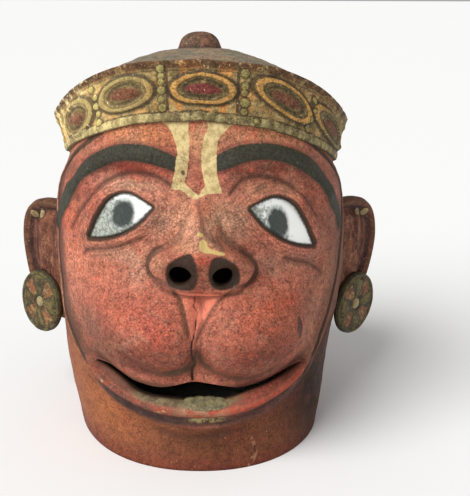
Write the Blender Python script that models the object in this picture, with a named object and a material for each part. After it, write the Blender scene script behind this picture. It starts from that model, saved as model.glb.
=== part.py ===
# Painted helmet mask of a monkey-faced deity.
# One hollow head shell (neck, face, crown band, dome, finial, ears), two mirror eyes set
# in pockets and two flower discs in front of the ear lobes.
# Metres, +Z up. The face looks along -Y. The mask stands on its neck rim, and the origin
# is on the table under the middle of its overall width and depth.

import bpy
import bmesh
import numpy as np

# Driving sizes, metres
HEAD_HEIGHT = 0.3125       # neck rim to the top of the dome
HEAD_WIDTH = 0.230         # plain head across the cheeks, without the ears
HEAD_DEPTH = 0.243         # plain head from face to back at the same level
SHELL_WALL = 0.007         # papier-mache wall
FINIAL_RADIUS = 0.018
FINIAL_HEIGHT = 0.0120
EAR_THICKNESS = 0.010
EAR_REACH = 0.0605         # width of the ear's flap, from the head outwards
EAR_TOP = 0.185            # heights of the ear's top and foot above the table
EAR_FOOT = 0.080
EAR_RIM = 0.0025           # how far the ear's rolled edge stands up
EARRING_RADIUS = 0.0285
EARRING_THICKNESS = 0.0075
EARRING_HEIGHT = 0.0895    # middle of the disc above the table
EARRING_ACROSS = 0.0285    # middle of the disc along the ear's flap
EYE_POCKET = 0.0040        # depth of the pocket under the face
EYE_PLATE = 0.0026         # thickness of the mirror glass
FIT_GAP = 0.0003           # clearance between touching pieces
NOSTRIL_RADIUS = 0.0078

# The ears' plane turns back from the face
EAR_TURN = np.radians(46)
EAR_OUT = 0.1135 * HEAD_WIDTH / 0.230      # where it starts, from the middle
EAR_FRONT = -0.004

# The carving is laid out on a grid of parts, 312.5 high, 230 wide and 243 deep,
# so that it keeps its proportions when the head changes size.
PART_X = HEAD_WIDTH / 230
PART_Y = HEAD_DEPTH / 243
DOME_TOP = 312.5
PART_Z = HEAD_HEIGHT / DOME_TOP
COLUMNS = 108              # mesh columns around the head before thinning, a multiple of 4
THINNING = 0.25            # share of the head's triangles that stays, most of them on the carving

# Half width and depth of the plain head at heights above the rim, in parts
HALF_WIDTH = ((0, 103.5), (35, 109.5), (75, 114.5), (115, 117), (150, 117.5), (195, 114.5), (207, 112),
              (225, 105.5), (250, 99), (270, 95))
FRONT_DEPTH = ((0, 130), (34, 121), (75, 124), (115, 124), (150, 122), (195, 117), (225, 113), (250, 109),
               (270, 105))
BACK_DEPTH = ((0, 108), (35, 110), (75, 114), (115, 119), (150, 121), (195, 120), (225, 115), (250, 109),
              (270, 103))
ROUNDNESS = 2.15           # exponent of the head's cross-section
NECK_SWAY = 3.5            # the neck stands a little to one side of the crown
NECK_SKEW = 0.024          # and its rim is a little out of true

# Crown band, in parts over the angle from the front in degrees
BAND_FOOT = ((0, 266.6), (26, 260.3), (41, 251.5), (60, 239), (92, 218.5), (130, 202), (180, 195))
BAND_HEIGHT = ((0, 43), (45, 42.5), (70, 34.5), (92, 27.5), (130, 25), (180, 24))
BAND_FLARE = ((0, 4), (45, 6.5), (92, 9.5), (180, 7))
BAND_PROUD = 1.8
BAND_LEAN = 4.3            # the crown sits a little askew
BAND_TAPER = 2             # the band is a little lower on the side that sits higher
BAND_LIP = 4.5             # width of the band's top edge
DOME_FULLNESS = 2.15       # 2 is a parabola, more is fuller
OVAL_RAISE = 0.0018        # metres that the crown's ovals stand proud
OVALS = ((-60.5, 0.52, 21, 13.5), (-31, 0.53, 26, 15), (0, 0.52, 29, 13.5), (33.5, 0.52, 26.5, 15),
         (62, 0.53, 21, 13.5))      # angle, height as a share of the band, half length, half height

# Face carving, in parts
FACE_LEAN = 0.022          # the features sink towards one side
FACE_EDGE_ANGLE = 79
FACE_EDGE_TOP = 165
FACE_EDGE_DROP = 133
FACE_STEP = 4
NOSE_OUTLINE = ((141, 0), (144, 18), (151, 31), (158, 37), (163, 38.5), (168, 35), (174, 27), (181, 17),
                (190, 12), (200, 9.5), (213, 7.5))
NOSE_HEIGHT = ((138, 0), (146, 9), (156, 16), (166, 22), (172, 24.5), (178, 22.5), (190, 14), (205, 6),
               (220, 0))
NOSTRIL = (15.0, 159.5)
MUZZLE = (40, 112, 52, 47)             # centre across and up, half width, half height
BROW = ((10, 232), (15, 234.5), (35, 241), (55, 242), (78, 231), (97, 206))
LIP_CREST = ((0, 50.5), (38, 53.5), (62, 61.5), (82, 75))
SLOT_TOP = ((0, 73), (12, 71.5), (36, 67), (61, 71), (80, 78))
SLOT_FOOT = ((0, 60.5), (19, 60.5), (26, 63.5), (40, 64.5), (61, 68), (80, 76))
EYE_LEFT = (60, 189.5, 28.6, -30.5)    # centre across and up, half length, tilt in degrees
EYE_RIGHT = (60, 187.8, 30.3, -33.5)
EYE_UP = ((-1, 0.8), (-0.77, 9.8), (-0.17, 19), (0.42, 12.3), (1, 0.8))
EYE_DOWN = ((-1, -0.8), (-0.63, -4.5), (0, -7), (0.63, -4.5), (1, -0.8))
LIP_MIDDLE = -4                        # the groove over the mouth is off the middle


def clear_scene():
    for thing in list(bpy.data.objects):
        bpy.data.objects.remove(thing, do_unlink=True)


def curve(stations, x):
    """Smooth curve through a few stations (cubic Hermite)."""
    sx = np.array([s[0] for s in stations], float)
    sy = np.array([s[1] for s in stations], float)
    slope = np.gradient(sy, sx)
    x = np.clip(x, sx[0], sx[-1])
    k = np.clip(np.searchsorted(sx, x, side="right") - 1, 0, len(sx) - 2)
    h = sx[k + 1] - sx[k]
    t = (x - sx[k]) / h
    start = (2 * t**3 - 3 * t**2 + 1) * sy[k] + (t**3 - 2 * t**2 + t) * h * slope[k]
    end = (3 * t**2 - 2 * t**3) * sy[k + 1] + (t**3 - t**2) * h * slope[k + 1]
    return start + end


def ramp(low, high, x):
    t = np.clip((x - low) / (high - low), 0, 1)
    return t * t * (3 - 2 * t)


def hill(q):
    """1 in the middle, falling smoothly to 0 where q reaches 1."""
    return (1 - np.clip(q, 0, 1) ** 2) ** 2


def ridge(q):
    return np.exp(-q * q)


def from_front(angle):
    return np.degrees(np.abs((angle + np.pi) % (2 * np.pi) - np.pi))


def face_edge(angle, z):
    """1 on the face's outline, less inside it, more outside."""
    side = from_front(angle) / FACE_EDGE_ANGLE
    drop = np.clip(FACE_EDGE_TOP - z, 0, None) / FACE_EDGE_DROP
    return (side**1.6 + drop**1.6) ** (1 / 1.6)


def plain_head(angle, z):
    across = np.abs(np.sin(angle)) / curve(HALF_WIDTH, z)
    depth = np.where(np.cos(angle) > 0, curve(FRONT_DEPTH, z), curve(BACK_DEPTH, z))
    along = np.abs(np.cos(angle)) / depth
    skew = 1 + NECK_SKEW * np.sin(2 * angle) * ramp(75, 10, z)
    return skew * (across**ROUNDNESS + along**ROUNDNESS) ** (-1 / ROUNDNESS)


def lids(x, z):
    """Raised lids around the eyes."""
    centre, level, half, degrees = (np.where(x < 0, a, b) for a, b in zip(EYE_LEFT, EYE_RIGHT))
    tilt = np.radians(degrees)
    dx, dz = np.abs(x) - centre, z - level
    along = (dx * np.cos(tilt) + dz * np.sin(tilt)) / half
    up = dz * np.cos(tilt) - dx * np.sin(tilt)
    edge = np.where(up > 0, up - curve(EYE_UP, along), curve(EYE_DOWN, along) - up)
    return 2.4 * ridge((edge - 4.5) / 5) * ramp(1.3, 0.95, np.abs(along))


def muzzle(x, z):
    across, up, wide, tall = MUZZLE
    lobes = 21 * hill(np.hypot((np.abs(x) - across) / wide, (z - up) / tall)) ** 0.75
    middle = 8 * hill(np.hypot(x / across, (z - up - 5) / tall))
    groove = 5 * ridge((x - LIP_MIDDLE * ramp(150, 115, z)) / 6.5) * ramp(66, 84, z) * ramp(150, 136, z)
    return lobes + middle - groove


def nose(x, z, under):
    """The nose stands on the muzzle's height where its outline lies over it."""
    inside_by = curve(NOSE_OUTLINE, z) - np.abs(x)
    soft = np.where(z > 174, 9, 6)
    cover = ramp(-0.4 * soft, soft, inside_by) * ramp(139, 143, z) * ramp(220, 210, z)
    height = curve(NOSE_HEIGHT, z) * (1 - 0.45 * np.clip(np.abs(x) / 38, 0, 1) ** 2)
    dent = 7.5 * hill(np.hypot((np.abs(x) - NOSTRIL[0] - 1) / 12, (z - NOSTRIL[1]) / 12.5))
    return under * (1 - 0.45 * cover) + height * cover - dent


def eyes_and_brows(x, z):
    wide = np.abs(x)
    brow = 3.8 * ridge((z - curve(BROW, wide)) / 8) * ramp(8, 24, wide) * ramp(110, 94, wide)
    socket = 4 * hill(np.hypot((wide - 54) / 42, (z - 221) / 15))
    return brow - socket + lids(x, z)


def lips(x, z):
    wide = np.abs(x)
    thick = curve(((0, 8), (40, 7.5), (70, 5.5), (86, 3)), wide)
    lower = 9 * ridge((z - curve(LIP_CREST, wide)) / thick) * ramp(92, 74, wide)
    bite = 5 * ridge((z - curve(SLOT_FOOT, wide) - 3) / 6) * ramp(88, 70, wide)
    teeth = 3.5 * ramp(19, 16, wide) * ramp(55, 58, z) * ramp(66, 62, z) * (1 - 0.6 * ridge(x / 1.6))
    return lower - bite + teeth


def head_radius(angle, z, detail=1.0):
    """Distance of the outer face from the head's axis, in parts."""
    edge = face_edge(angle, z)
    radius = plain_head(angle, z) + FACE_STEP * ramp(1.07, 0.99, edge)
    x = radius * np.sin(angle)
    z = z + FACE_LEAN * x
    relief = nose(x, z, muzzle(x, z)) + eyes_and_brows(x, z) + lips(x, z)
    groove = 1.5 * ridge((edge - 0.985) / 0.02)
    front = ramp(0, 0.25, np.cos(angle)) * ramp(1.0, 0.9, edge)
    return radius + detail * relief * front - detail * groove


def neck_sway(z):
    """How far the neck swings sideways below the cheeks, in parts."""
    return NECK_SWAY * ramp(150, 40, z)


def place(angle, z, radius):
    """Parts around the axis to metres."""
    x = (radius * np.sin(angle) - neck_sway(z)) * PART_X
    y = -radius * np.cos(angle) * PART_Y
    return np.stack(np.broadcast_arrays(x, y, z * PART_Z), axis=-1)


def in_parts(length, angle):
    """A length in metres as radial parts in the direction of an angle."""
    return length / np.hypot(np.sin(angle) * PART_X, np.cos(angle) * PART_Y)


def band_foot(angle):
    return curve(BAND_FOOT, from_front(angle)) - BAND_LEAN * np.sin(angle)


def band_height(angle):
    return curve(BAND_HEIGHT, from_front(angle)) + BAND_TAPER * np.sin(angle)


def band_radius(angle, share):
    """The crown band flares upwards from the head and has a border strip along its foot."""
    seat = head_radius(angle, band_foot(angle), 0)
    border = 1.4 * ridge((share * band_height(angle) - 3) / 3.2)
    return seat + BAND_PROUD + curve(BAND_FLARE, from_front(angle)) * share**1.3 + border


def row_sag(angle, level):
    """Mesh rows near the mouth rise with it towards the corners, so the lips stay smooth."""
    rise = curve(((0, 0), (18, 1.5), (30, 7), (42, 16), (60, 17), (100, 0), (180, 0)), from_front(angle))
    return rise * ramp(12, 46, level) * ramp(132, 78, level)


def outer_rows(angle):
    """Rows of outer points, rim first: neck and face, crown band, dome, finial."""
    foot = band_foot(angle)
    high = band_height(angle)
    rows = []
    neck_and_mouth = [0, 9, 18, 26, *np.arange(31, 90, 2.7), *np.arange(92, 136, 4.5)]
    nose_and_brow = [*np.arange(138, 182, 2.6), *np.arange(185, 228, 3.6), *np.arange(231, 264, 5)]
    for level in neck_and_mouth + nose_and_brow:
        z = level * (1 - ramp(90, 210, level) * (1 - foot / BAND_FOOT[0][1])) + row_sag(angle, level)
        rows.append(place(angle, z, head_radius(angle, z)))
    rows.append(place(angle, foot - 0.6, head_radius(angle, foot - 0.6)))
    for share in (0, 0.04, 0.08, 0.12, 0.2, 0.35, 0.5, 0.65, 0.8, 0.9, 1.0):
        rows.append(place(angle, foot + share * high, band_radius(angle, share)))
    brim = band_radius(angle, 1.0) - BAND_LIP
    brim_z = foot + high - 1.0
    spread = in_parts(FINIAL_RADIUS, angle) / brim
    for inward in (0, 0.05, 0.1, 0.17, 0.25, 0.35, 0.48, 0.63, 0.8, 1.0):
        reach = 1 - inward * (1 - spread)
        z = brim_z + (DOME_TOP - brim_z) * (1 - reach**DOME_FULLNESS)
        rows.append(place(angle, z, brim * reach))
    foot_ring = rows[-1]
    for wide, up in ((0.95, 0.25), (0.87, 0.5), (0.7, 0.75), (0.42, 0.93)):
        ring = foot_ring * np.array((wide, wide, 0))
        ring[:, 2] = DOME_TOP * PART_Z + up * FINIAL_HEIGHT
        rows.append(ring)
    return rows


def inner_rows(angle):
    """Rows of inner points, rim first: the same form without the fine carving, one wall inside."""
    foot = band_foot(angle)
    high = band_height(angle)
    wall = in_parts(SHELL_WALL, angle)
    rows = []
    for share in (0, 0.15, 0.28, 0.4, 0.52, 0.64, 0.76, 0.88, 1.0):
        z = share * foot
        radius = head_radius(angle, z, 0) + 0.45 * broad_muzzle(angle, z)
        rows.append(place(angle, z, radius - wall))
    brim = head_radius(angle, foot, 0) - wall
    wall_up = SHELL_WALL / PART_Z
    brim_z = foot + high - 1.6 * wall_up
    rows.append(place(angle, 0.5 * (foot + brim_z), brim))
    for reach in (0.97, 0.86, 0.68, 0.4):
        z = brim_z + (DOME_TOP - wall_up - brim_z) * (1 - reach**DOME_FULLNESS)
        rows.append(place(angle, z, brim * reach))
    return rows


def broad_muzzle(angle, z):
    x = plain_head(angle, z) * np.sin(angle)
    front = ramp(0, 0.25, np.cos(angle))
    lump = 20 * hill(np.hypot((np.abs(x) - 32) / 56, (z - 116) / 56))
    return (lump + 16 * hill(np.hypot(x / 34, (z - 165) / 38))) * front


def head_columns():
    """Angles around the head, close together over the face and wide apart behind."""
    share = np.linspace(-1, 1, COLUMNS, endpoint=False)
    return np.pi * np.sign(share) * (0.44 * np.abs(share) + 0.56 * np.abs(share) ** 3.6)


def mesh_object(name, verts, faces, material):
    mesh = bpy.data.meshes.new(name)
    mesh.from_pydata([tuple(float(c) for c in v) for v in verts], [], faces)
    mesh.validate()
    work = bmesh.new()
    work.from_mesh(mesh)
    bmesh.ops.recalc_face_normals(work, faces=work.faces)
    work.to_mesh(mesh)
    work.free()
    made = bpy.data.objects.new(name, mesh)
    bpy.context.scene.collection.objects.link(made)
    if material:
        mesh.materials.append(material)
    return made


def ring_faces(start, count, rows, flip=False):
    """Quads between closed rings of points. Those of the second half start a corner later, to mirror."""
    faces = []
    for r in range(rows - 1):
        for c in range(count):
            a, b = start + r * count + c, start + r * count + (c + 1) % count
            quad = (a, b, b + count, a + count) if 2 * c < count else (b, b + count, a + count, a)
            faces.append(quad[::-1] if flip else quad)
    return faces


def make_shell(material):
    angle = head_columns()
    outer = outer_rows(angle)
    inner_angle = angle[::4]
    inner = inner_rows(inner_angle)
    count, inner_count = len(angle), len(inner_angle)
    verts = list(np.concatenate(outer))
    faces = ring_faces(0, count, len(outer))
    tip = len(verts)
    verts.append(np.array((0, 0, DOME_TOP * PART_Z + FINIAL_HEIGHT)))
    last = (len(outer) - 1) * count
    faces += [(last + c, last + (c + 1) % count, tip) for c in range(count)]
    first = len(verts)
    verts += list(np.concatenate(inner))
    faces += ring_faces(first, inner_count, len(inner), flip=True)
    crest = len(verts)
    verts.append(np.array((0, 0, DOME_TOP * PART_Z - SHELL_WALL)))
    last = first + (len(inner) - 1) * inner_count
    faces += [(last + (c + 1) % inner_count, last + c, crest) for c in range(inner_count)]
    for c in range(inner_count):
        near, far = first + c, first + (c + 1) % inner_count
        rim = [(4 * c + k) % count for k in range(5)]
        faces += [(near, rim[1], rim[0]), (near, rim[2], rim[1]), (near, far, rim[2])]
        faces += [(far, rim[3], rim[2]), (far, rim[4], rim[3])]
    shell = mesh_object("head_shell", verts, faces, material)
    thin = shell.modifiers.new("thinning", "DECIMATE")
    thin.ratio = THINNING
    return shell


def face_angle(x, z):
    """The angle at which the smooth face lies x parts off the middle."""
    angle = np.arcsin(np.clip(x / 120, -0.95, 0.95))
    for _ in range(12):
        angle = np.arcsin(np.clip(x / head_radius(angle, z, 0), -0.97, 0.97))
    return angle


def strip_solid(name, x, foot, top, inward, outward, material=None):
    """Closed solid between a lower and an upper curve, from inward to outward of the face (metres)."""
    across = 3
    share = np.linspace(0, 1, across)
    grid_x = x[:, :1] * (1 - share) + x[:, 1:] * share
    grid_z = foot[:, None] * (1 - share) + top[:, None] * share
    angle = face_angle(grid_x, grid_z)
    surface = head_radius(angle, grid_z, 0)
    front = place(angle, grid_z, surface + in_parts(outward, angle))
    back = place(angle, grid_z, surface + in_parts(inward, angle))
    long = len(grid_z)
    verts = list(front.reshape(-1, 3)) + list(back.reshape(-1, 3))
    faces = []
    half = long * across
    for i in range(long - 1):
        for j in range(across - 1):
            a = i * across + j
            faces.append((a, a + across, a + across + 1, a + 1))
            faces.append((half + a, half + a + 1, half + a + across + 1, half + a + across))
    border = [(i, 0) for i in range(long)] + [(long - 1, j) for j in range(1, across)]
    border += [(i, across - 1) for i in range(long - 2, -1, -1)] + [(0, j) for j in range(across - 2, 0, -1)]
    loop = [i * across + j for i, j in border]
    for a, b in zip(loop, loop[1:] + loop[:1]):
        faces.append((b, a, half + a, half + b))
    return mesh_object(name, verts, faces, material)


def eye_outline(side, shrink):
    """Lower and upper edge points of an eye, in parts, less a clearance all round."""
    centre, level, half, degrees = EYE_LEFT if side < 0 else EYE_RIGHT
    share = np.sin(np.linspace(-1, 1, 13) * np.pi / 2)
    along = (half - 2 * shrink) * share
    tilt = np.radians(degrees)
    edges = []
    for stations, inwards in ((EYE_DOWN, shrink), (EYE_UP, -shrink)):
        up = curve(stations, along / half) + inwards
        x = centre + along * np.cos(tilt) - up * np.sin(tilt)
        z = level + along * np.sin(tilt) + up * np.cos(tilt)
        edges.append((side * x, z - FACE_LEAN * side * x))
    return np.stack((edges[0][0], edges[1][0]), axis=1), edges[0][1], edges[1][1]


def cut_away(body, cutter):
    cut = body.modifiers.new(cutter.name, "BOOLEAN")
    cut.operation = "DIFFERENCE"
    cut.solver = "EXACT"
    cut.object = cutter
    cutter.hide_render = True
    cutter.display_type = "WIRE"


def join_to(body, extra):
    fuse = body.modifiers.new(extra.name, "BOOLEAN")
    fuse.operation = "UNION"
    fuse.solver = "EXACT"
    fuse.object = extra
    extra.hide_render = True
    extra.display_type = "WIRE"


def crown_oval(index, centre, level, half_long, half_high):
    """A low oval boss on the crown band, with a raised rim and a domed middle."""
    turn = np.linspace(0, 2 * np.pi, 18, endpoint=False)
    rings = []
    for share, out in ((1.0, -1.0), (1.0, 0.4), (0.9, 1.0), (0.66, 0.8), (0.56, 0.35), (0.0, 1.1)):
        angle = np.radians(centre) + share * half_long * np.cos(turn) / 112
        high = band_height(angle)
        up = level + share * half_high * np.sin(turn) / high
        radius = band_radius(angle, up) + in_parts(out * OVAL_RAISE, angle)
        rings.append(place(angle, band_foot(angle) + up * high, radius))
    middle = rings.pop()[:1]
    verts = list(np.concatenate(rings + [middle]))
    count = len(turn)
    last = (len(rings) - 1) * count
    faces = ring_faces(0, count, len(rings))
    faces += [(last + c, last + (c + 1) % count, len(verts) - 1) for c in range(count)]
    faces.append(tuple(range(count))[::-1])
    return mesh_object(f"crown_oval_{index}", verts, faces, None)


def nostril_cutter(side):
    """A round bore from the nose into the hollow."""
    x, z = side * NOSTRIL[0], NOSTRIL[1] - FACE_LEAN * side * NOSTRIL[0]
    bpy.ops.mesh.primitive_cylinder_add(vertices=16, radius=NOSTRIL_RADIUS, depth=HEAD_DEPTH * 0.5)
    bore = bpy.context.object
    bore.name = "nostril_cutter_left" if side < 0 else "nostril_cutter_right"
    bore.rotation_euler = (np.pi / 2, 0, 0)
    bore.location = (x * PART_X, -130 * PART_Y, z * PART_Z)
    return bore


def slot_cutter():
    x = 80 * np.sin(np.linspace(-1, 1, 23) * np.pi / 2)
    foot = curve(SLOT_FOOT, np.abs(x)) - FACE_LEAN * x
    middle = LIP_MIDDLE * ramp(50, 20, np.abs(x))
    top = curve(SLOT_TOP, np.abs(x - middle)) - FACE_LEAN * x
    return strip_solid("mouth_cutter", np.stack((x, x), axis=1), foot, top, -0.034, 0.03)


def ear_place(side, across, up, out):
    """Point of an ear: across its plane, up, and out of its front."""
    x = EAR_OUT + across * np.cos(EAR_TURN) + out * np.sin(EAR_TURN)
    y = EAR_FRONT + across * np.sin(EAR_TURN) - out * np.cos(EAR_TURN)
    return np.stack(np.broadcast_arrays(side * x - neck_sway(up / PART_Z) * PART_X, y, up), axis=-1)


def domed_plate(name, side, rings, spokes, outline, front, thickness, material=None):
    """Closed plate in an ear's plane: rings of points inside an outline, flat behind."""
    turn = np.linspace(0, 2 * np.pi, spokes, endpoint=False)
    share = np.array(rings)[:, None]
    across, up = outline(turn, share)
    face = ear_place(side, across, up, front(across, up, share))
    back = ear_place(side, across[-1:], up[-1:], -thickness)
    middle = outline(turn[:1], np.zeros((1, 1)))
    height = front(middle[0], middle[1], np.zeros((1, 1)))
    peak = ear_place(side, middle[0], middle[1], height)
    verts = list(np.concatenate((face.reshape(-1, 3), back.reshape(-1, 3), peak.reshape(-1, 3))))
    count = len(rings)
    faces = ring_faces(0, spokes, count + 1)
    faces += [((c + 1) % spokes, c, (count + 1) * spokes) for c in range(spokes)]
    faces.append(tuple(range(count * spokes, (count + 1) * spokes)))
    return mesh_object(name, verts, faces, material)


def make_ear(side):
    middle_up = 0.5 * (EAR_TOP + EAR_FOOT)
    half_up = 0.5 * (EAR_TOP - EAR_FOOT)

    def outline(turn, share):
        s, c = np.sin(turn), np.cos(turn)
        up = np.sign(s) * np.abs(s) ** 0.6
        reach = EAR_REACH * (1 - 0.24 * ramp(0.3, -1, up))
        across = np.where(c > 0, reach, 0.016) * np.sign(c) * np.abs(c) ** 0.6
        return share * across, middle_up + share * half_up * up

    def front(across, up, share):
        roll = EAR_RIM * ridge((share - 0.93) / 0.1) * (up > EARRING_HEIGHT)
        spine = 0.0018 * ridge((across / EAR_REACH - 0.48) / 0.14) * ramp(EAR_TOP, EAR_TOP - 0.03, up)
        fall = 0.003 * ramp(0.94, 1.0, share)
        return 0.5 * EAR_THICKNESS + roll + spine - fall

    name = "ear_left_form" if side < 0 else "ear_right_form"
    rings = (0.25, 0.5, 0.7, 0.84, 0.93, 1.0)
    return domed_plate(name, side, rings, 24, outline, front, 0.5 * EAR_THICKNESS)


def disc_outline(side, radius):
    """A round disc; the discs hang askew as the features do."""
    middle = EARRING_HEIGHT - FACE_LEAN * side * EAR_OUT

    def outline(turn, share):
        return EARRING_ACROSS + share * radius * np.cos(turn), middle + share * radius * np.sin(turn)
    return outline


def petal_height(turn, share):
    """Four petals in a cross, a stud in the middle and a raised border."""
    petals = 0.0018 * np.abs(np.cos(2 * turn)) ** 0.6 * ramp(0.12, 0.35, share) * ramp(0.85, 0.7, share)
    return petals + 0.0022 * ramp(0.16, 0.1, share) + 0.0012 * ridge((share - 0.93) / 0.06)


def make_earring(side, material):
    base = 0.5 * EAR_THICKNESS + EAR_RIM * 0.2 + FIT_GAP

    def front(across, up, share):
        turn = np.arctan2(up - np.mean(up), across - EARRING_ACROSS)
        body = base + EARRING_THICKNESS - 0.003
        return body + petal_height(turn, share) - 0.0015 * ramp(0.95, 1.0, share)

    name = "earring_left" if side < 0 else "earring_right"
    rings = (0.12, 0.22, 0.45, 0.7, 0.84, 0.93, 1.0)
    return domed_plate(name, side, rings, 24, disc_outline(side, EARRING_RADIUS), front, -base, material)


def earring_cutter(side):
    base = 0.5 * EAR_THICKNESS + EAR_RIM * 0.2

    def front(across, up, share):
        return base + 0.03 + 0 * across

    name = "earring_seat_left" if side < 0 else "earring_seat_right"
    outline = disc_outline(side, EARRING_RADIUS + FIT_GAP)
    return domed_plate(name, side, (0.5, 1.0), 24, outline, front, -base)


def make_material(name, colour, roughness, metallic=0.0):
    material = bpy.data.materials.new(name)
    material.use_nodes = True
    shader = material.node_tree.nodes["Principled BSDF"]
    shader.inputs["Base Color"].default_value = (*colour, 1.0)
    shader.inputs["Roughness"].default_value = roughness
    shader.inputs["Metallic"].default_value = metallic
    material.diffuse_color = (*colour, 1.0)
    return material


def round_shading(made, degrees):
    made.data.shade_smooth()
    made.data.set_sharp_from_angle(angle=np.radians(degrees))


def centre_all():
    """Everything hangs on one empty, which brings the middle of the overall box over the origin."""
    made = list(bpy.context.scene.objects)
    seen = [v.co for thing in made if not thing.hide_render for v in thing.data.vertices]
    middle = bpy.data.objects.new("head_middle", None)
    bpy.context.scene.collection.objects.link(middle)
    for axis in (0, 1):
        ends = [co[axis] for co in seen]
        middle.location[axis] = -0.5 * (min(ends) + max(ends))
    for thing in made:
        thing.parent = middle


def build():
    clear_scene()
    paint = make_material("painted_papier_mache", (0.42, 0.13, 0.08), 0.7)
    mirror = make_material("mirror_glass", (0.80, 0.82, 0.80), 0.12, 1.0)
    olive = make_material("painted_ear_disc", (0.16, 0.15, 0.05), 0.65)
    shell = make_shell(paint)
    cut_away(shell, slot_cutter())
    for index, oval in enumerate(OVALS, 1):
        join_to(shell, crown_oval(index, *oval))
    for side, word in ((-1, "left"), (1, "right")):
        join_to(shell, make_ear(side))
        cut_away(shell, earring_cutter(side))
        cut_away(shell, nostril_cutter(side))
        pocket = strip_solid("eye_pocket_" + word, *eye_outline(side, 0), -EYE_POCKET, 0.02)
        cut_away(shell, pocket)
        floor = FIT_GAP - EYE_POCKET
        outline = eye_outline(side, FIT_GAP / PART_X)
        eye = strip_solid("eye_" + word, *outline, floor, floor + EYE_PLATE, mirror)
        round_shading(eye, 40)
        round_shading(make_earring(side, olive), 40)
    round_shading(shell, 40)
    centre_all()


build()
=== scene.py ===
# Painted papier-mache helmet mask of a monkey deity: the dressed model round the CAD frame.
# Shapes are worked out in millimetres round the head's own axis and placed in metres at the end.
import bpy
import numpy as np
from mathutils import Matrix, Vector


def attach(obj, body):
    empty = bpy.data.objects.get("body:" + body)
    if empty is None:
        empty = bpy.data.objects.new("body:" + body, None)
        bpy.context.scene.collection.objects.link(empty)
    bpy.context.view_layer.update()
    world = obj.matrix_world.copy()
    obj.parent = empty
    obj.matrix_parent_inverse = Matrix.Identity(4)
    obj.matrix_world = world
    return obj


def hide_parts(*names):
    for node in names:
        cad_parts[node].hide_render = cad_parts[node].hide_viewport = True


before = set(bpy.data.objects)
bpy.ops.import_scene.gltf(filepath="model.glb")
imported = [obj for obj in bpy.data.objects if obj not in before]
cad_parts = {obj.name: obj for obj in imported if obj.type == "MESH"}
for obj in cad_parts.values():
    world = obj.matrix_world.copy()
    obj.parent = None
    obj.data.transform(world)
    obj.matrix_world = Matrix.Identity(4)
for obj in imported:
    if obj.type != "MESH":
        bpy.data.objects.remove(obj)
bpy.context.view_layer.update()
print("frame loaded")

headMiddle = np.array((2.0111, 9.7567, 0))  # from the head's axis to the middle of the frame


# curves and noise on whole arrays
def curve(stations, x):
    # smooth line through a few stations: cubic spans with slopes from both neighbours, flat beyond the ends
    sx, sy = (np.array(column, float) for column in zip(*stations))
    slope = np.gradient(sy, sx)
    x = np.clip(x, sx[0], sx[-1])
    k = np.clip(np.searchsorted(sx, x, side="right") - 1, 0, len(sx) - 2)
    h = sx[k + 1] - sx[k]
    t = (x - sx[k]) / h
    start = (2 * t**3 - 3 * t**2 + 1) * sy[k] + (t**3 - 2 * t**2 + t) * h * slope[k]
    return start + (3 * t**2 - 2 * t**3) * sy[k + 1] + (t**3 - t**2) * h * slope[k + 1]


def ramp(low, high, x):  # smooth step from 0 at low to 1 at high
    t = np.clip((x - low) / (high - low), 0, 1)
    return t * t * (3 - 2 * t)


def hill(q):  # 1 in the middle, 0 from q = 1 on
    return (1 - np.clip(q, 0, 1) ** 2) ** 2


def mound(x, z, shape, power=1):  # a height times the hill round its middle, with two reaches
    height, across, up, wide, tall = shape
    return height * hill(np.hypot((x - across) / wide, (z - up) / tall)) ** power


def ridge(q):  # bell, 1 at q = 0
    return np.exp(-q * q)


def lumps(points, size, seed):  # sum of sixteen waves of about one length, roughly -1 to 1
    draw = np.random.default_rng(seed)
    total = np.zeros(points.shape[:-1])
    for _ in range(16):
        way = draw.normal(size=3)
        way *= 2 * np.pi / (np.linalg.norm(way) * size * draw.uniform(0.7, 1.5))
        total += np.sin(points @ way + draw.uniform(0, 6.28))
    return total / 5.0


# meshes
def makePiece(name, grid, firstPole=None, lastPole=None):
    # a grid of points closed round its columns; its rows close on themselves or on two poles
    rows, columns = grid.shape[:2]
    points = grid.reshape(-1, 3)
    index = np.arange(rows * columns).reshape(rows, columns)
    looped = firstPole is None
    lower = index if looped else index[:-1]
    upper = np.roll(index, -1, axis=0) if looped else index[1:]
    corners = (lower, np.roll(lower, -1, axis=1), np.roll(upper, -1, axis=1), upper)
    quads = np.stack(corners, axis=-1).reshape(-1, 4)
    faces = quads.tolist()
    a, b, c, d = (points[quads[:, k]] for k in range(4))
    volume = np.sum(a * np.cross(b, c)) + np.sum(a * np.cross(c, d))
    if not looped:
        count = len(points)
        points = np.vstack((points, firstPole, lastPole))
        first, last = index[0], index[-1]
        faces += [[count, q, p] for p, q in zip(first, np.roll(first, -1))]
        faces += [[p, q, count + 1] for p, q in zip(last, np.roll(last, -1))]
    if volume < 0:
        faces = [face[::-1] for face in faces]
    return meshObject(name, points, faces)


def meshObject(name, points, faces):
    mesh = bpy.data.meshes.new(name)
    mesh.from_pydata(((points + headMiddle) * 0.001).tolist(), [], faces)
    mesh.update()
    mesh.shade_smooth()
    piece = bpy.data.objects.new(name, mesh)
    bpy.context.scene.collection.objects.link(piece)
    return piece


def pointsOf(mesh):  # mesh points back in millimetres round the head's axis
    points = np.empty(len(mesh.vertices) * 3)
    mesh.vertices.foreach_get("co", points)
    return points.reshape(-1, 3) * 1000 - headMiddle


def writeField(mesh, name, values):  # one number or one colour for each point
    if values.ndim == 1:
        made = mesh.attributes.new(name, "FLOAT", "POINT")
        made.data.foreach_set("value", values.astype(np.float32))
    else:
        made = mesh.attributes.new(name, "FLOAT_COLOR", "POINT")
        full = np.concatenate((values, np.ones((len(values), 1))), axis=1)
        made.data.foreach_set("color", full.astype(np.float32).ravel())


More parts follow.
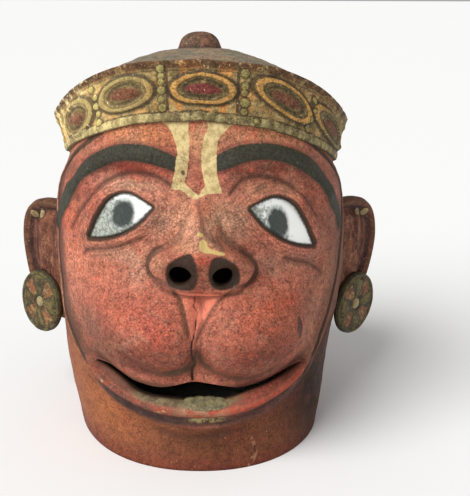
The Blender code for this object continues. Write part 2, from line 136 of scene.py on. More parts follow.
def hollows(mesh, rounds):  # how far each point lies below its smoothed neighbourhood, mm
    count = len(mesh.vertices)
    ends = np.empty(len(mesh.edges) * 2, int)
    mesh.edges.foreach_get("vertices", ends)
    a, b = ends.reshape(-1, 2).T
    points = pointsOf(mesh)
    normals = np.empty(count * 3)
    mesh.vertices.foreach_get("normal", normals)
    links = np.maximum(np.bincount(a, minlength=count) + np.bincount(b, minlength=count), 1)
    smooth = points.copy()
    for _ in range(rounds):
        around = [np.bincount(a, smooth[b, k], count) + np.bincount(b, smooth[a, k], count) for k in range(3)]
        smooth = 0.5 * smooth + 0.5 * np.stack(around, axis=1) / links[:, None]
    return np.sum((smooth - points) * normals.reshape(-1, 3), axis=1)


def onHead(piece, material, node):  # the calls that every piece of the mask gets
    piece.data.materials.clear()
    piece.data.materials.append(material)
    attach(piece, "root")
    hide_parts(node)
    print("made", piece.name, len(piece.data.polygons))
    return piece


# materials: sockets with arithmetic
class Wire:
    def __init__(self, finish, socket):
        self.finish = finish
        self.socket = socket

    def maths(self, operation, *values):
        return self.finish.node("ShaderNodeMath", {"operation": operation}, values)

    def __add__(self, other):
        return self.maths("ADD", self, other)

    def __radd__(self, other):
        return self.maths("ADD", other, self)

    def __sub__(self, other):
        return self.maths("SUBTRACT", self, other)

    def __rsub__(self, other):
        return self.maths("SUBTRACT", other, self)

    def __mul__(self, other):
        return self.maths("MULTIPLY", self, other)

    def __rmul__(self, other):
        return self.maths("MULTIPLY", other, self)

    def __abs__(self):
        return self.maths("ABSOLUTE", self)

    def sine(self):
        return self.maths("SINE", self)

    def atMost(self, other):
        return self.maths("MINIMUM", self, other)

    def atLeast(self, other):
        return self.maths("MAXIMUM", self, other)

    def between(self, low, high):  # smooth step, falling if low is over high
        span = {"Value": self, "From Min": low, "From Max": high}
        return self.finish.node("ShaderNodeMapRange", {"interpolation_type": "SMOOTHSTEP"}, span)


def paint(red, green, blue):  # screen colour 0-255 to a linear colour
    shares = np.array((red, green, blue)) / 255
    linear = np.where(shares <= 0.04045, shares / 12.92, ((shares + 0.055) / 1.055) ** 2.4)
    return (*linear.tolist(), 1.0)


class Finish:
    def __init__(self, name):
        self.material = bpy.data.materials.new(name)
        self.material.use_nodes = True
        self.tree = self.material.node_tree
        self.tree.nodes.clear()
        self.coords = self.node("ShaderNodeTexCoord", output="Object")

    def node(self, kind, settings=None, sockets=(), output=0):
        made = self.tree.nodes.new(kind)
        for name, value in (settings or {}).items():
            setattr(made, name, value)
        pairs = sockets.items() if isinstance(sockets, dict) else enumerate(sockets)
        for name, value in pairs:
            if isinstance(value, Wire):
                self.tree.links.new(value.socket, made.inputs[name])
            else:
                made.inputs[name].default_value = value
        return Wire(self, made.outputs[output])

    def field(self, name):
        return self.node("ShaderNodeAttribute", {"attribute_name": name}, output="Fac")

    def colourField(self, name):
        return self.node("ShaderNodeAttribute", {"attribute_name": name}, output="Color")

    def noise(self, size, detail=3, rough=0.55, warp=0.0, stretch=None):  # size in millimetres
        where = self.coords
        if stretch:
            where = self.node("ShaderNodeVectorMath", {"operation": "MULTIPLY"}, (where, stretch))
        sockets = {"Vector": where, "Scale": 1000 / size, "Detail": detail, "Roughness": rough,
                   "Distortion": warp}
        return self.node("ShaderNodeTexNoise", {}, sockets)

    def cracks(self, size, shift):  # distance to the edges of a warped cell pattern, in cells
        turned = self.node("ShaderNodeTexNoise", {}, {"Vector": self.coords, "Scale": 700 / size}, "Color")
        away = self.node("ShaderNodeVectorMath", {"operation": "MULTIPLY_ADD"},
                         (turned, (0.0012 * shift,) * 3, self.coords))
        sockets = {"Vector": away, "Scale": 1000 / size}
        return self.node("ShaderNodeTexVoronoi", {"feature": "DISTANCE_TO_EDGE"}, sockets)

    def mix(self, factor, under, over):  # two wires or screen colours 0-255
        under, over = (paint(*tone) if isinstance(tone, tuple) else tone for tone in (under, over))
        return self.node("ShaderNodeMix", {"data_type": "RGBA"}, {0: factor, 6: under, 7: over}, 2)

    def lay(self, mask, tone):  # a layer of paint over what is there
        self.colour = self.mix(mask, self.colour, tone)

    def shade(self, factor):  # what is there, lighter or darker by a factor
        sockets = {0: self.colour, "Scale": factor}
        self.colour = self.node("ShaderNodeVectorMath", {"operation": "SCALE"}, sockets)

    def grain(self, fine, coarse):  # darker and lighter grains of 1.5 mm and clouds of 5 mm
        grains = (self.noise(1.5, 4, 0.85) - 0.5) * fine + (self.noise(5, 4, 0.75) - 0.5) * coarse
        self.shade((grains + 1.0).atLeast(0.35).atMost(1.7))

    def bump(self, height, distance):
        return self.node("ShaderNodeBump", {}, {"Height": height, "Distance": distance, "Strength": 1.0})

    def oldPaint(self, rough, height, depth, specular=0.2):  # matt, with cloudy roughness
        rough = self.noise(9, 3) * 0.3 + rough
        return self.done({"Base Color": self.colour, "Roughness": rough, "Normal": self.bump(height, depth),
                          "Specular IOR Level": specular})

    def done(self, sockets):
        shader = self.node("ShaderNodeBsdfPrincipled", {}, sockets)
        made = self.tree.nodes.new("ShaderNodeOutputMaterial")
        self.tree.links.new(shader.socket, made.inputs["Surface"])
        return self.material


# lines and patches drawn on the face: points are degrees round the head and millimetres up
perDegree = 2.04  # millimetres along the face for a degree


def smoothLine(points, closed=False):  # rounds a line through its points, four steps a span
    p = np.array(points, float)
    p[:, 0] *= perDegree
    if closed:
        q = np.vstack((p[-1:], p, p[:2]))
    else:
        q = np.vstack((2 * p[0] - p[1], p, 2 * p[-1] - p[-2]))
    a, b, c, d = q[:-3], q[1:-2], q[2:-1], q[3:]
    t = np.arange(4)[:, None, None] / 4
    spans = 0.5 * (2 * b + (c - a) * t + (2 * a - 5 * b + 4 * c - d) * t**2 + (3 * b - a - 3 * c + d) * t**3)
    line = spans.transpose(1, 0, 2).reshape(-1, p.shape[1])
    return line if closed else np.vstack((line, p[-1:]))


def drawn(u, v, shapes, closed, far=-16.0):
    # lines: half width less the distance; patches: distance inside the edge, negative outside
    field = np.full(u.shape, far)
    for shape in shapes:
        line = smoothLine(shape, closed)
        low, high = line[:, :2].min(0) + far, line[:, :2].max(0) - far
        near = (u > low[0]) & (u < high[0]) & (v > low[1]) & (v < high[1])
        pu, pv = u[near], v[near]
        best = np.full(pu.shape, 1e3)
        inside = np.zeros(pu.shape, bool)
        ends = np.roll(line, -1, axis=0) if closed else line[1:]
        for a, b in zip(line, ends):
            du, dv = b[0] - a[0], b[1] - a[1]
            t = np.clip(((pu - a[0]) * du + (pv - a[1]) * dv) / (du * du + dv * dv + 1e-9), 0, 1)
            gap = np.hypot(pu - a[0] - t * du, pv - a[1] - t * dv)
            if closed:
                inside ^= ((a[1] > pv) != (b[1] > pv)) & (pu < a[0] + (pv - a[1]) * du / (dv or 1e-9))
            else:
                gap = gap - a[2] - t * (b[2] - a[2])
            best = np.minimum(best, gap)
        field[near] = np.maximum(field[near], np.where(inside, best, -best))
    return field


# each line's points are (degrees, up, half width); each patch's points are (degrees, up)
faceLines = {
    "brow": (
        ((-8.9, 235.3, 4.2), (-13.5, 238.7, 4.9), (-19, 241.3, 5.4), (-24.7, 241.9, 5.3), (-30.4, 240.5, 5.2),
         (-35.7, 237.3, 5.2), (-41.5, 231.9, 5.3), (-47.5, 225.5, 5.5), (-52, 217.3, 6), (-54.5, 209.5, 6.5),
         (-60, 198.5, 6.8), (-65, 187.7, 6.5), (-68, 176.3, 5)),
        ((5.5, 235.9, 4.2), (9.2, 239.7, 5.1), (13.7, 243, 5.3), (18.4, 244.5, 4.9), (23.3, 244.6, 5),
         (28.5, 243, 5), (34.1, 239.8, 5.1), (39.8, 234.8, 5.5), (45, 229, 6), (50, 221, 6.5),
         (53.5, 211.6, 6.5), (56.5, 202.8, 6), (62, 191.5, 5.5), (63.6, 179.7, 4.5))),
    "lid": (
        ((-10.6, 219.4, 0.4), (-13.9, 223.4, 0.8), (-18.8, 226.2, 0.9), (-23.9, 226.6, 0.9),
         (-29.4, 224.8, 0.9), (-34.8, 220.5, 0.9), (-38.7, 215.6, 0.9), (-41.7, 208.5, 0.9),
         (-45.3, 199.8, 0.9), (-50.2, 188.5, 0.8), (-53.3, 178.3, 0.4)),
        ((9.9, 214.1, 0.4), (11.9, 219.2, 0.8), (14.8, 224.3, 0.9), (19.8, 226.4, 0.9), (25.1, 225.2, 0.9),
         (30.6, 222, 0.9), (35.4, 216.8, 0.9), (37.7, 212.2, 0.8), (41.4, 203.9, 0.8), (45.1, 193.2, 0.4)),
        ((-45.4, 160.5, 0.4), (-44, 164.1, 0.8), (-37.7, 168, 0.9), (-29.7, 172.3, 0.9), (-24.6, 177, 0.7),
         (-20.6, 181, 0.3)),
        ((-1, 209, 0.2), (-0.3, 201, 0.5), (0.6, 193, 0.6), (2.4, 187, 0.5), (5.4, 181, 0.2)),
        ((29.3, 165.8, 0.4), (34, 162, 0.8), (38.7, 158.9, 0.8), (44, 152.7, 0.7), (47.1, 147.2, 0.3))),
    "groove": (
        ((-13.3, 175.7, 0.6), (-15.9, 173, 1.3), (-17.6, 167.2, 1.7), (-17.9, 161.1, 1.8),
         (-17.1, 155.6, 1.8), (-13.4, 154.7, 1.5), (-10.8, 151.1, 1.4), (-8.9, 148, 1.2), (-8.3, 143, 1.2),
         (-6.8, 140, 1.3),
         (-5.6, 132.1, 1.4), (-4.6, 123.5, 1.2), (-3.5, 113.8, 0.8)),
        ((12.4, 174.3, 0.6), (15.7, 169.7, 1.3), (17, 165.6, 1.7), (18.4, 158.8, 1.8), (17.2, 153.9, 1.6),
         (14.2, 150.3, 1.4), (10.6, 150.3, 1.3), (8.3, 146.1, 1.1), (5.5, 140.2, 0.9), (2.8, 133.2, 0.8),
         (0.6, 123, 0.8), (-1.2, 113.6, 0.7), (-2.2, 106, 0.3))),
    "crack": (
        ((-2, 145.2, 0.1), (-2.5, 137.2, 0.35), (-2.6, 134, 0.5), (-1.6, 130.2, 0.3), (-1.9, 122, 0.35),
         (-2.3, 113, 0.45), (-2.9, 107.4, 0.5), (-2.8, 97, 0.5), (-1.6, 88.3, 0.7), (-2.6, 82.3, 0.8),
         (-2.3, 73.9, 0.9)),),
    "neckCrack": (
        ((19.3, 21.6, 0.2), (20.2, 14.9, 0.5), (19.7, 8.8, 0.6), (17.5, 2, 0.3)),),
    "lobeFoot": (
        ((-24.5, 96.4, 0.1), (-20.5, 89.9, 0.6), (-16.8, 84.3, 1.0), (-12.4, 80.8, 1.2), (-7.8, 81.6, 1.4),
         (-4.5, 84.1, 1.4), (-2.3, 90.6, 1.0), (-1.4, 98.3, 0.3)),
        ((-0.4, 96.2, 0.2), (1, 89.4, 0.8), (3.3, 85.1, 1.2), (7.3, 79.6, 1.2), (12.1, 75.8, 1.0),
         (17, 75.2, 0.8), (21.1, 79, 0.5), (25.2, 83.2, 0.1))),
    "yellow": (
        ((0.2, 184, 2.2), (0.8, 181, 2.2), (3, 179, 1.1), (6, 177.3, 0.8)),
        ((-0.9, 190.3, 1.2), (-0.2, 189.5, 1.2))),
    "scar": (
        ((31.4, 122, 1.2), (32.2, 114, 2.6), (32.6, 106, 1.6)),
        ((29.4, 116, 0.1), (30.6, 113.5, 0.4), (31.8, 113, 0.2)),
        ((-6.5, 230, 1.3), (-6.3, 229, 1.3))),
}
facePatches = {
    "tilak": (
        ((-17.4, 267), (-13.6, 263.5), (-10.8, 257.5), (-9.3, 250.5), (-8.5, 243.7), (-8.7, 238.6),
         (-9.2, 230.6), (-10, 224.1), (-10.6, 218.2), (-7.5, 217.2), (-4.9, 213.8), (-2.2, 211.2),
         (-0.9, 213.4), (-4, 218.3), (-5.7, 221.8), (-5.3, 228), (-4.7, 235.1), (-4.4, 244.7), (-4.3, 253.4),
         (-4.7, 260.3), (-5.7, 272), (-18, 272)),
        ((3.8, 270), (2.4, 260.6), (1, 253.6), (0.3, 247.6), (0, 238.8), (0.4, 230), (1.2, 221.2),
         (-0.1, 216.8), (-1.8, 211.3), (-0.1, 213.5), (2.9, 215.1), (6.9, 215.9), (6.3, 221.3), (5.5, 229.3),
         (5.4, 238.9), (5.8, 249.4), (7.2, 256), (10.4, 262), (14, 266), (17, 272))),
    "nostril": (
        ((-3, 177), (-5.4, 175.8), (-8.2, 171.9), (-10.4, 164.5), (-10.8, 155.9), (-9.7, 150.6), (-7, 148.3),
         (-2.9, 148.9), (-1.4, 157.8), (-1.6, 168.4)),
        ((3.2, 174.8), (6.3, 174.5), (9.7, 167.9), (11.2, 159.8), (11, 153), (8.3, 149.4), (4.9, 148.9),
         (2.6, 153.5), (1.8, 162.2), (2.1, 169.5))),
    "philtrum": (
        ((-7.6, 145.5), (-6, 138), (-4.8, 130), (-4, 122), (-3.2, 112), (-2.2, 104), (-1.4, 112), (0.4, 122),
         (2.6, 132.5), (5.2, 139.5), (7, 143.5), (2, 145), (-3, 145)),),
    "face": (
        ((0.5, 33.2), (14.8, 37), (26.8, 43.8), (37.8, 57.8), (44, 74.7), (49.8, 97.4), (53, 109.3),
         (56.8, 126.3), (60.6, 140), (63.8, 157), (66.5, 175), (70, 190), (73, 203), (72, 215), (65, 228),
         (52, 243), (40, 256), (30, 278), (0, 290), (-30, 278), (-40, 256), (-51.1, 243), (-64.8, 227.5),
         (-72.6, 214.7), (-73.5, 203), (-70.5, 190), (-68, 175), (-66, 157), (-65, 140), (-62.5, 120),
         (-58.5, 102.8), (-51, 86.8), (-45.2, 76.1), (-37, 64), (-27, 49), (-15, 38.5)),),
}


# the head: a closed cross-section with carving on its front
head = {
    "halfWidth": ((0, 103.5), (35, 109.5), (75, 114.5), (115, 117), (150, 117.5), (195, 114.5), (207, 112),
                  (225, 105.5), (250, 99), (270, 95)),
    "frontDepth": ((0, 130), (34, 121), (75, 124), (115, 124), (150, 122), (195, 117), (225, 113),
                   (250, 109), (270, 105)),
    "backDepth": ((0, 108), (35, 110), (75, 114), (115, 119), (150, 121), (195, 120), (225, 115),
                  (250, 109), (270, 103)),
    "roundness": 2.15, "neckSway": 3.5, "neckSkew": 0.024, "lean": 0.022, "wall": 7.0,
    "edgeAngle": 79, "edgeTop": 165, "edgeDrop": 133, "step": 4.0,
    "noseOutline": ((141, 0), (144, 18), (151, 31), (158, 37), (163, 38.5), (168, 35), (174, 27), (181, 17),
                    (190, 12), (200, 9.5), (213, 7.5)),
    "noseHeight": ((138, 0), (146, 9), (156, 16), (166, 22), (172, 24.4), (178, 22.4), (190, 14), (205, 6),
                   (220, 0)),
    "brow": ((10, 232), (15, 234.5), (35, 241), (55, 242), (78, 231), (97, 206)),
    "lipCrest": ((0, 50.5), (38, 53.5), (62, 61.5), (82, 75)),
    "slotTop": ((-80, 79), (-71.5, 77), (-60, 74), (-48.7, 70.4), (-38, 67.8), (-29.5, 66.8), (-20, 68.8),
                (-9.4, 72.1), (0.6, 72.8), (9, 71.5), (17.1, 69.7), (31.3, 66.3), (40, 66.8), (49.4, 68.9),
                (68.2, 74.1), (80, 78.5)),
    "slotFoot": ((-80, 77.2), (-71.5, 73.6), (-60, 67.6), (-50.2, 61.6), (-37.7, 58.2), (-25.5, 57.4),
                 (-11.8, 56.6), (1, 56.6), (16.8, 56.8), (26.7, 58.6), (43.7, 63), (52.7, 65),
                 (66.6, 70), (80, 77)),
    "eyes": {-1: (60, 189.5, 28.6, -30.5), 1: (60, 187.8, 30.3, -33.5)},
    "eyeUp": ((-1, 0.8), (-0.77, 11.2), (-0.17, 19), (0.42, 12.3), (1, 0.8)),
    "eyeDown": ((-1, -0.8), (-0.63, -4.5), (0, -7), (0.63, -4.5), (1, -0.8)),
    "nostrils": ((-15.6, 158.8, 8.2, 8.0), (14.4, 158.6, 7.5, 7.8)),  # across, up, half width, half height
    # mounds: height, middle across and up, reach across and up
    "lobe": (19.0, 40, 112, 52, 47), "lobeBall": (2.4, 36, 108, 34, 30), "philtrumRise": (8, 0, 117, 40, 47),
    "noseDent": (7.5, 16, 159.5, 12, 12.5), "socket": (4, 54, 221, 42, 15),
    "innerMuzzle": (20, 32, 116, 56, 56), "innerNose": (16, 0, 165, 34, 38),
    "columns": 384,
}


def fromFront(angle):  # degrees either way from the face's middle
    return np.degrees(np.abs((angle + np.pi) % (2 * np.pi) - np.pi))


def faceEdge(angle, z):  # 1 on the face's rounded outline, less inside
    side = fromFront(angle) / head["edgeAngle"]
    drop = np.clip(head["edgeTop"] - z, 0, None) / head["edgeDrop"]
    return (side**1.6 + drop**1.6) ** (1 / 1.6)


def plainHead(angle, z):
    # superellipse of the half width and depth at that height, turned a little askew at the neck
    power = head["roundness"]
    across = np.abs(np.sin(angle)) / curve(head["halfWidth"], z)
    depth = np.where(np.cos(angle) > 0, curve(head["frontDepth"], z), curve(head["backDepth"], z))
    skew = 1 + head["neckSkew"] * np.sin(2 * angle) * ramp(75, 10, z)
    return skew * (across**power + (np.abs(np.cos(angle)) / depth) ** power) ** (-1 / power)


def lids(x, z):  # a rounded roll a little outside the eye's edge
    eyes = zip(head["eyes"][-1], head["eyes"][1])
    centre, level, half, degrees = (np.where(x < 0, a, b) for a, b in eyes)
    tilt = np.radians(degrees)
    dx, dz = np.abs(x) - centre, z - level
    along = (dx * np.cos(tilt) + dz * np.sin(tilt)) / half
    up = dz * np.cos(tilt) - dx * np.sin(tilt)
    edge = np.where(up > 0, up - curve(head["eyeUp"], along), curve(head["eyeDown"], along) - up)
    return 2.4 * ridge((edge - 4.5) / 5) * ramp(1.3, 0.95, np.abs(along))


def muzzle(x, z):  # two round lobes, a low middle and the groove between them
    lobes = mound(np.abs(x), z, head["lobe"], 0.75)
    groove = 5 * ridge((x + 4 * ramp(150, 115, z)) / 6.5) * ramp(66, 84, z) * ramp(150, 136, z)
    return lobes + mound(x, z, head["philtrumRise"]) - groove


def nose(x, z, under):  # stands on the muzzle where its outline lies over it
    insideBy = curve(head["noseOutline"], z) - np.abs(x)
    soft = np.where(z > 174, 9, 6)
    cover = ramp(-0.4 * soft, soft, insideBy) * ramp(139, 143, z) * ramp(220, 210, z)
    height = curve(head["noseHeight"], z) * (1 - 0.45 * np.clip(np.abs(x) / 38, 0, 1) ** 2)
    return under * (1 - 0.45 * cover) + height * cover - mound(np.abs(x), z, head["noseDent"])


def lips(x, z):  # rolled lower lip, its bitten-in top and the upper edge
    wide = np.abs(x)
    thick = curve(((0, 8), (40, 7.5), (70, 5.5), (86, 3)), wide)
    lower = 9 * ridge((z - curve(head["lipCrest"], wide)) / thick) * ramp(92, 74, wide)
    return lower - 5 * ridge((z - curve(head["slotFoot"], x) - 3) / 6) * ramp(88, 70, wide)


def headRadius(angle, z, detail=1.0):
    # plain head, a step outwards inside the face's edge, the sum of the carving ahead, less a fine groove
    edge = faceEdge(angle, z)
    radius = plainHead(angle, z) + head["step"] * ramp(1.07, 0.99, edge)
    x = radius * np.sin(angle)
    z = z + head["lean"] * x
    wide = np.abs(x)
    brow = 3.8 * ridge((z - curve(head["brow"], wide)) / 8) * ramp(8, 24, wide) * ramp(110, 94, wide)
    relief = nose(x, z, muzzle(x, z)) + brow - mound(wide, z, head["socket"]) + lids(x, z) + lips(x, z)
    front = ramp(0, 0.25, np.cos(angle)) * ramp(1.0, 0.9, edge)
    return radius + detail * relief * front - detail * 1.5 * ridge((edge - 0.985) / 0.02)


def broadMuzzle(angle, z):  # the hollow's plain version of the muzzle and nose
    x = plainHead(angle, z) * np.sin(angle)
    lump = mound(np.abs(x), z, head["innerMuzzle"]) + mound(x, z, head["innerNose"])
    return lump * ramp(0, 0.25, np.cos(angle))


def neckSway(z):
    return head["neckSway"] * ramp(150, 40, z)


def place(angle, z, radius):  # round the axis to across, back and up
    grids = (radius * np.sin(angle) - neckSway(z), -radius * np.cos(angle), z)
    return np.stack(np.broadcast_arrays(*grids), axis=-1)


def around(points):  # back from a place to angle, radius and leaned height
    x = points[..., 0] + neckSway(points[..., 2])
    angle = np.arctan2(x, -points[..., 1])
    return angle, np.hypot(x, points[..., 1]), points[..., 2] + head["lean"] * x


def faceFields(angle, up):
    u = perDegree * np.degrees(angle)
    fields = {name: drawn(u, up, shapes, False) for name, shapes in faceLines.items()}
    fields.update({name: drawn(u, up, shapes, True) for name, shapes in facePatches.items()})
    return fields


def fineCarving(angle, z, radius):  # what the painted lines add to the relief, in millimetres
    up = z + head["lean"] * radius * np.sin(angle)
    f = faceFields(angle, up)
    brow = 1.1 * ramp(-2.5, 1.5, f["brow"])
    lines = 1.0 * ramp(-1.6, 0.6, f["lid"]) + 1.3 * ramp(-1.8, 1.2, f["groove"])
    rounding = 1.8 * ramp(-7, 1.0, f["lobeFoot"])
    splits = 1.3 * ramp(-0.4, 0.5, f["crack"]) + 0.5 * ramp(-0.5, 0.4, f["neckCrack"])
    edge = 0.9 * ridge(f["face"] / 1.3) - 1.0 * ridge((f["face"] + 3.4) / 2.2)
    patches = 0.9 * ramp(-1.0, 1.2, f["nostril"]) + 0.3 * ramp(-0.5, 0.5, f["scar"])
    daubs = 0.25 * ramp(-0.4, 0.4, f["tilak"]) + 0.3 * ramp(-0.4, 0.4, f["yellow"])
    x = radius * np.sin(angle)
    bridge = 2.4 * ridge((x + 2.2) / 3.0) * ramp(172, 182, up) * ramp(214, 202, up)
    lobes = mound(np.abs(x), up, head["lobeBall"])
    edge = edge * ramp(246, 236, up) * ramp(60, 90, up)
    return brow + daubs + bridge + lobes - rounding - lines - splits - edge - patches


crown = {
    "foot": ((0, 266.6), (26, 260.3), (41, 251.5), (60, 239), (92, 218.5), (130, 202), (180, 195)),
    "height": ((0, 43), (45, 42.5), (70, 34.5), (92, 27.5), (130, 25), (180, 24)),
    "flare": ((0, 4), (45, 6.5), (92, 9.5), (180, 6.7)),
    "proud": 1.8, "lean": 4.3, "taper": 2.0, "lip": 4.5, "columns": 720,
    # ovals: middle (degrees, share of the height), right end and top from the middle
    "ovals": ((-55.8, 0.44, 11.6, -0.14, 5.8, 0.325), (-28.4, 0.53, 11.7, -0.065, 3.4, 0.285),
              (0.8, 0.54, 12.4, -0.015, 0.9, 0.27), (32.4, 0.55, 13.3, -0.035, -4.8, 0.295),
              (62, 0.46, 14.3, 0.02, -9.7, 0.29),
              *((turn, 0.5, 12, 0, 0, 0.29) for turn in (-92, -122, -152, 178, 148, 119)),
              (91, 0.5, 11, 0, 0, 0.29)),
    "ovalRaise": 1.8,
    # beads: degrees, share, radius in mm
    "beads": ((-14.1, 0.88, 3.2), (-14, 0.76, 2.6), (-14.1, 0.66, 2.6), (-14, 0.53, 3.2), (-14.2, 0.38, 2.6),
              (-13.9, 0.24, 3.2), (15.5, 0.84, 3.4), (15.7, 0.64, 3), (15.6, 0.53, 2.6), (15.9, 0.37, 3.6),
              (15.6, 0.22, 2.8), (20.5, 0.1, 2.6), (-43.2, 0.78, 3), (-41.8, 0.62, 2.6), (-41.7, 0.47, 3),
              (-41.4, 0.33, 2.6), (-41.4, 0.18, 3), (46, 0.74, 2.6), (46.4, 0.56, 2.4), (45.5, 0.4, 2.6),
              (44.2, 0.23, 3), (-77, 0.75, 2.8), (-77, 0.5, 2.8), (-77, 0.27, 2.8), (77.5, 0.75, 2.6),
              (77.5, 0.28, 2.6),
              *((turn, share, 2.6) for turn in (-107, 105, -137, 134, -167, 163)
                for share in (0.75, 0.5, 0.27))),
}


def bandFoot(angle):
    return curve(crown["foot"], fromFront(angle)) - crown["lean"] * np.sin(angle)


def bandHeight(angle):
    return curve(crown["height"], fromFront(angle)) + crown["taper"] * np.sin(angle)


def bandRadius(angle, share):
    # the head's own radius at the band's foot, plus a flare by the share's power and a bell along the foot
    seat = headRadius(angle, bandFoot(angle), 0)
    border = 1.4 * ridge((share * bandHeight(angle) - 3) / 3.2)
    return seat + crown["proud"] + curve(crown["flare"], fromFront(angle)) * share**1.3 + border


def faceAngle(x, z):  # the angle at which the smooth face lies that far across
    angle = np.arcsin(np.clip(x / 120, -0.95, 0.95))
    for _ in range(12):
        angle = np.arcsin(np.clip(x / headRadius(angle, z, 0), -0.97, 0.97))
    return angle


def slab(name, x, foot, top, inward, outward):
    # a slab on the smooth face between a lower and an upper line, from one depth to another
    share = np.linspace(0, 1, 7)
    gridX = x[:, :1] * (1 - share) + x[:, 1:] * share
    gridZ = foot[:, None] * (1 - share) + top[:, None] * share
    angle = faceAngle(gridX, gridZ)
    surface = headRadius(angle, gridZ, 0)
    front = place(angle, gridZ, surface + outward)
    back = place(angle, gridZ, surface + inward)
    rings = np.concatenate((front, back[:, ::-1]), axis=1)
    return makePiece(name, rings, rings[0].mean(0), rings[-1].mean(0))


def eyeOutline(side, shrink, steps=49):  # lower and upper edge of an eye, drawn in by a clearance
    centre, level, half, degrees = head["eyes"][side]
    share = np.sin(np.linspace(-1, 1, steps) * np.pi / 2)
    along = (half - 2 * shrink) * share
    tilt = np.radians(degrees)
    edges = []
    for stations, inwards in ((head["eyeDown"], shrink), (head["eyeUp"], -shrink)):
        up = curve(stations, along / half) + inwards
        x = centre + along * np.cos(tilt) - up * np.sin(tilt)
        z = level + along * np.sin(tilt) + up * np.cos(tilt)
        edges.append((side * x, z - head["lean"] * side * x))
    return np.stack((edges[0][0], edges[1][0]), axis=1), edges[0][1], edges[1][1]


def eyePatch(side):  # an eye's edge as a closed line in degrees and height
    x, foot, top = eyeOutline(side, 0, 17)
    edge = np.concatenate((np.stack((x[:, 0], foot), 1), np.stack((x[::-1, 1], top[::-1]), 1)[1:-1]))
    up = edge[:, 1] + head["lean"] * edge[:, 0]
    return np.stack((np.degrees(faceAngle(edge[:, 0], edge[:, 1])), up), 1)


facePatches["eye"] = (eyePatch(-1), eyePatch(1))


def mouthCutter():
    x = 80 * np.sin(np.linspace(-1, 1, 81) * np.pi / 2)
    foot = curve(head["slotFoot"], x) - head["lean"] * x
    top = curve(head["slotTop"], x) - head["lean"] * x
    return slab("mouthCutter", np.stack((x, x), axis=1), foot, top, -34, 30)


def nostrilCutter(x, up, wide, tall):  # an oval bore from the nose into the hollow
    turn = np.linspace(0, 2 * np.pi, 40, endpoint=False)
    depth = np.array((-190, -160, -130, -100, -75))[:, None]
    rings = (x + wide * np.cos(turn), depth, up - head["lean"] * x + tall * np.sin(turn))
    grid = np.stack(np.broadcast_arrays(*rings), axis=-1)
    return makePiece("nostrilCutter", grid, grid[0].mean(0), grid[-1].mean(0))


def cutAway(piece, cutters):  # cuts in turn, then keeps the cut mesh
    for cutter in cutters:
        cut = piece.modifiers.new(cutter.name, "BOOLEAN")
        cut.solver = "EXACT"
        cut.object = cutter
    bpy.context.view_layer.update()
    shaped = bpy.data.meshes.new_from_object(piece.evaluated_get(bpy.context.evaluated_depsgraph_get()))
    piece.modifiers.clear()
    piece.data = shaped
    for cutter in cutters:
        bpy.data.objects.remove(cutter)


def makeSkin():
    # outer rows from the rim up under the crown, then the hollow's rows back down; outside, the radius is
    # the head's plus the drawn relief plus lumps of three sizes, both fading out at the rim and the crown
    share = np.linspace(-1, 1, head["columns"], endpoint=False)
    angle = np.pi * np.sign(share) * (0.5 * np.abs(share) + 0.5 * np.abs(share) ** 3)
    foot = bandFoot(angle)
    seat = headRadius(angle, foot, 0)
    levels = np.concatenate((np.arange(0, 30, 2), np.arange(30, 96, 1), np.arange(96, 266, 1.22)))
    level = levels[:, None]
    z = level * (1 - ramp(90, 210, level) * (1 - foot / crown["foot"][0][1]))
    wide = np.broadcast_to(angle, z.shape)
    radius = headRadius(wide, z)
    rows = place(wide, z, radius)
    uneven = 0.35 * lumps(rows, 34, 3) + 0.16 * lumps(rows, 11, 4) + 0.07 * lumps(rows, 5, 5)
    radius = radius + (fineCarving(wide, z, radius) + uneven) * ramp(0, 6, z) * ramp(0, 6, foot - z + 3)
    rows = place(wide, z, radius)
    top = [place(angle, foot + 3, seat - 0.5), place(angle, foot + 3, seat - 6)]
    hollow = []
    for part in (1.0, 0.88, 0.76, 0.64, 0.52, 0.4, 0.28, 0.15, 0):
        inner = headRadius(angle, part * foot, 0) + 0.45 * broadMuzzle(angle, part * foot) - head["wall"]
        hollow.append(place(angle, part * foot, inner))
    rim = [0.5 * (hollow[-1] + rows[0])]
    return makePiece("faceAndNeck", np.concatenate((rows, np.array(top + hollow + rim))))


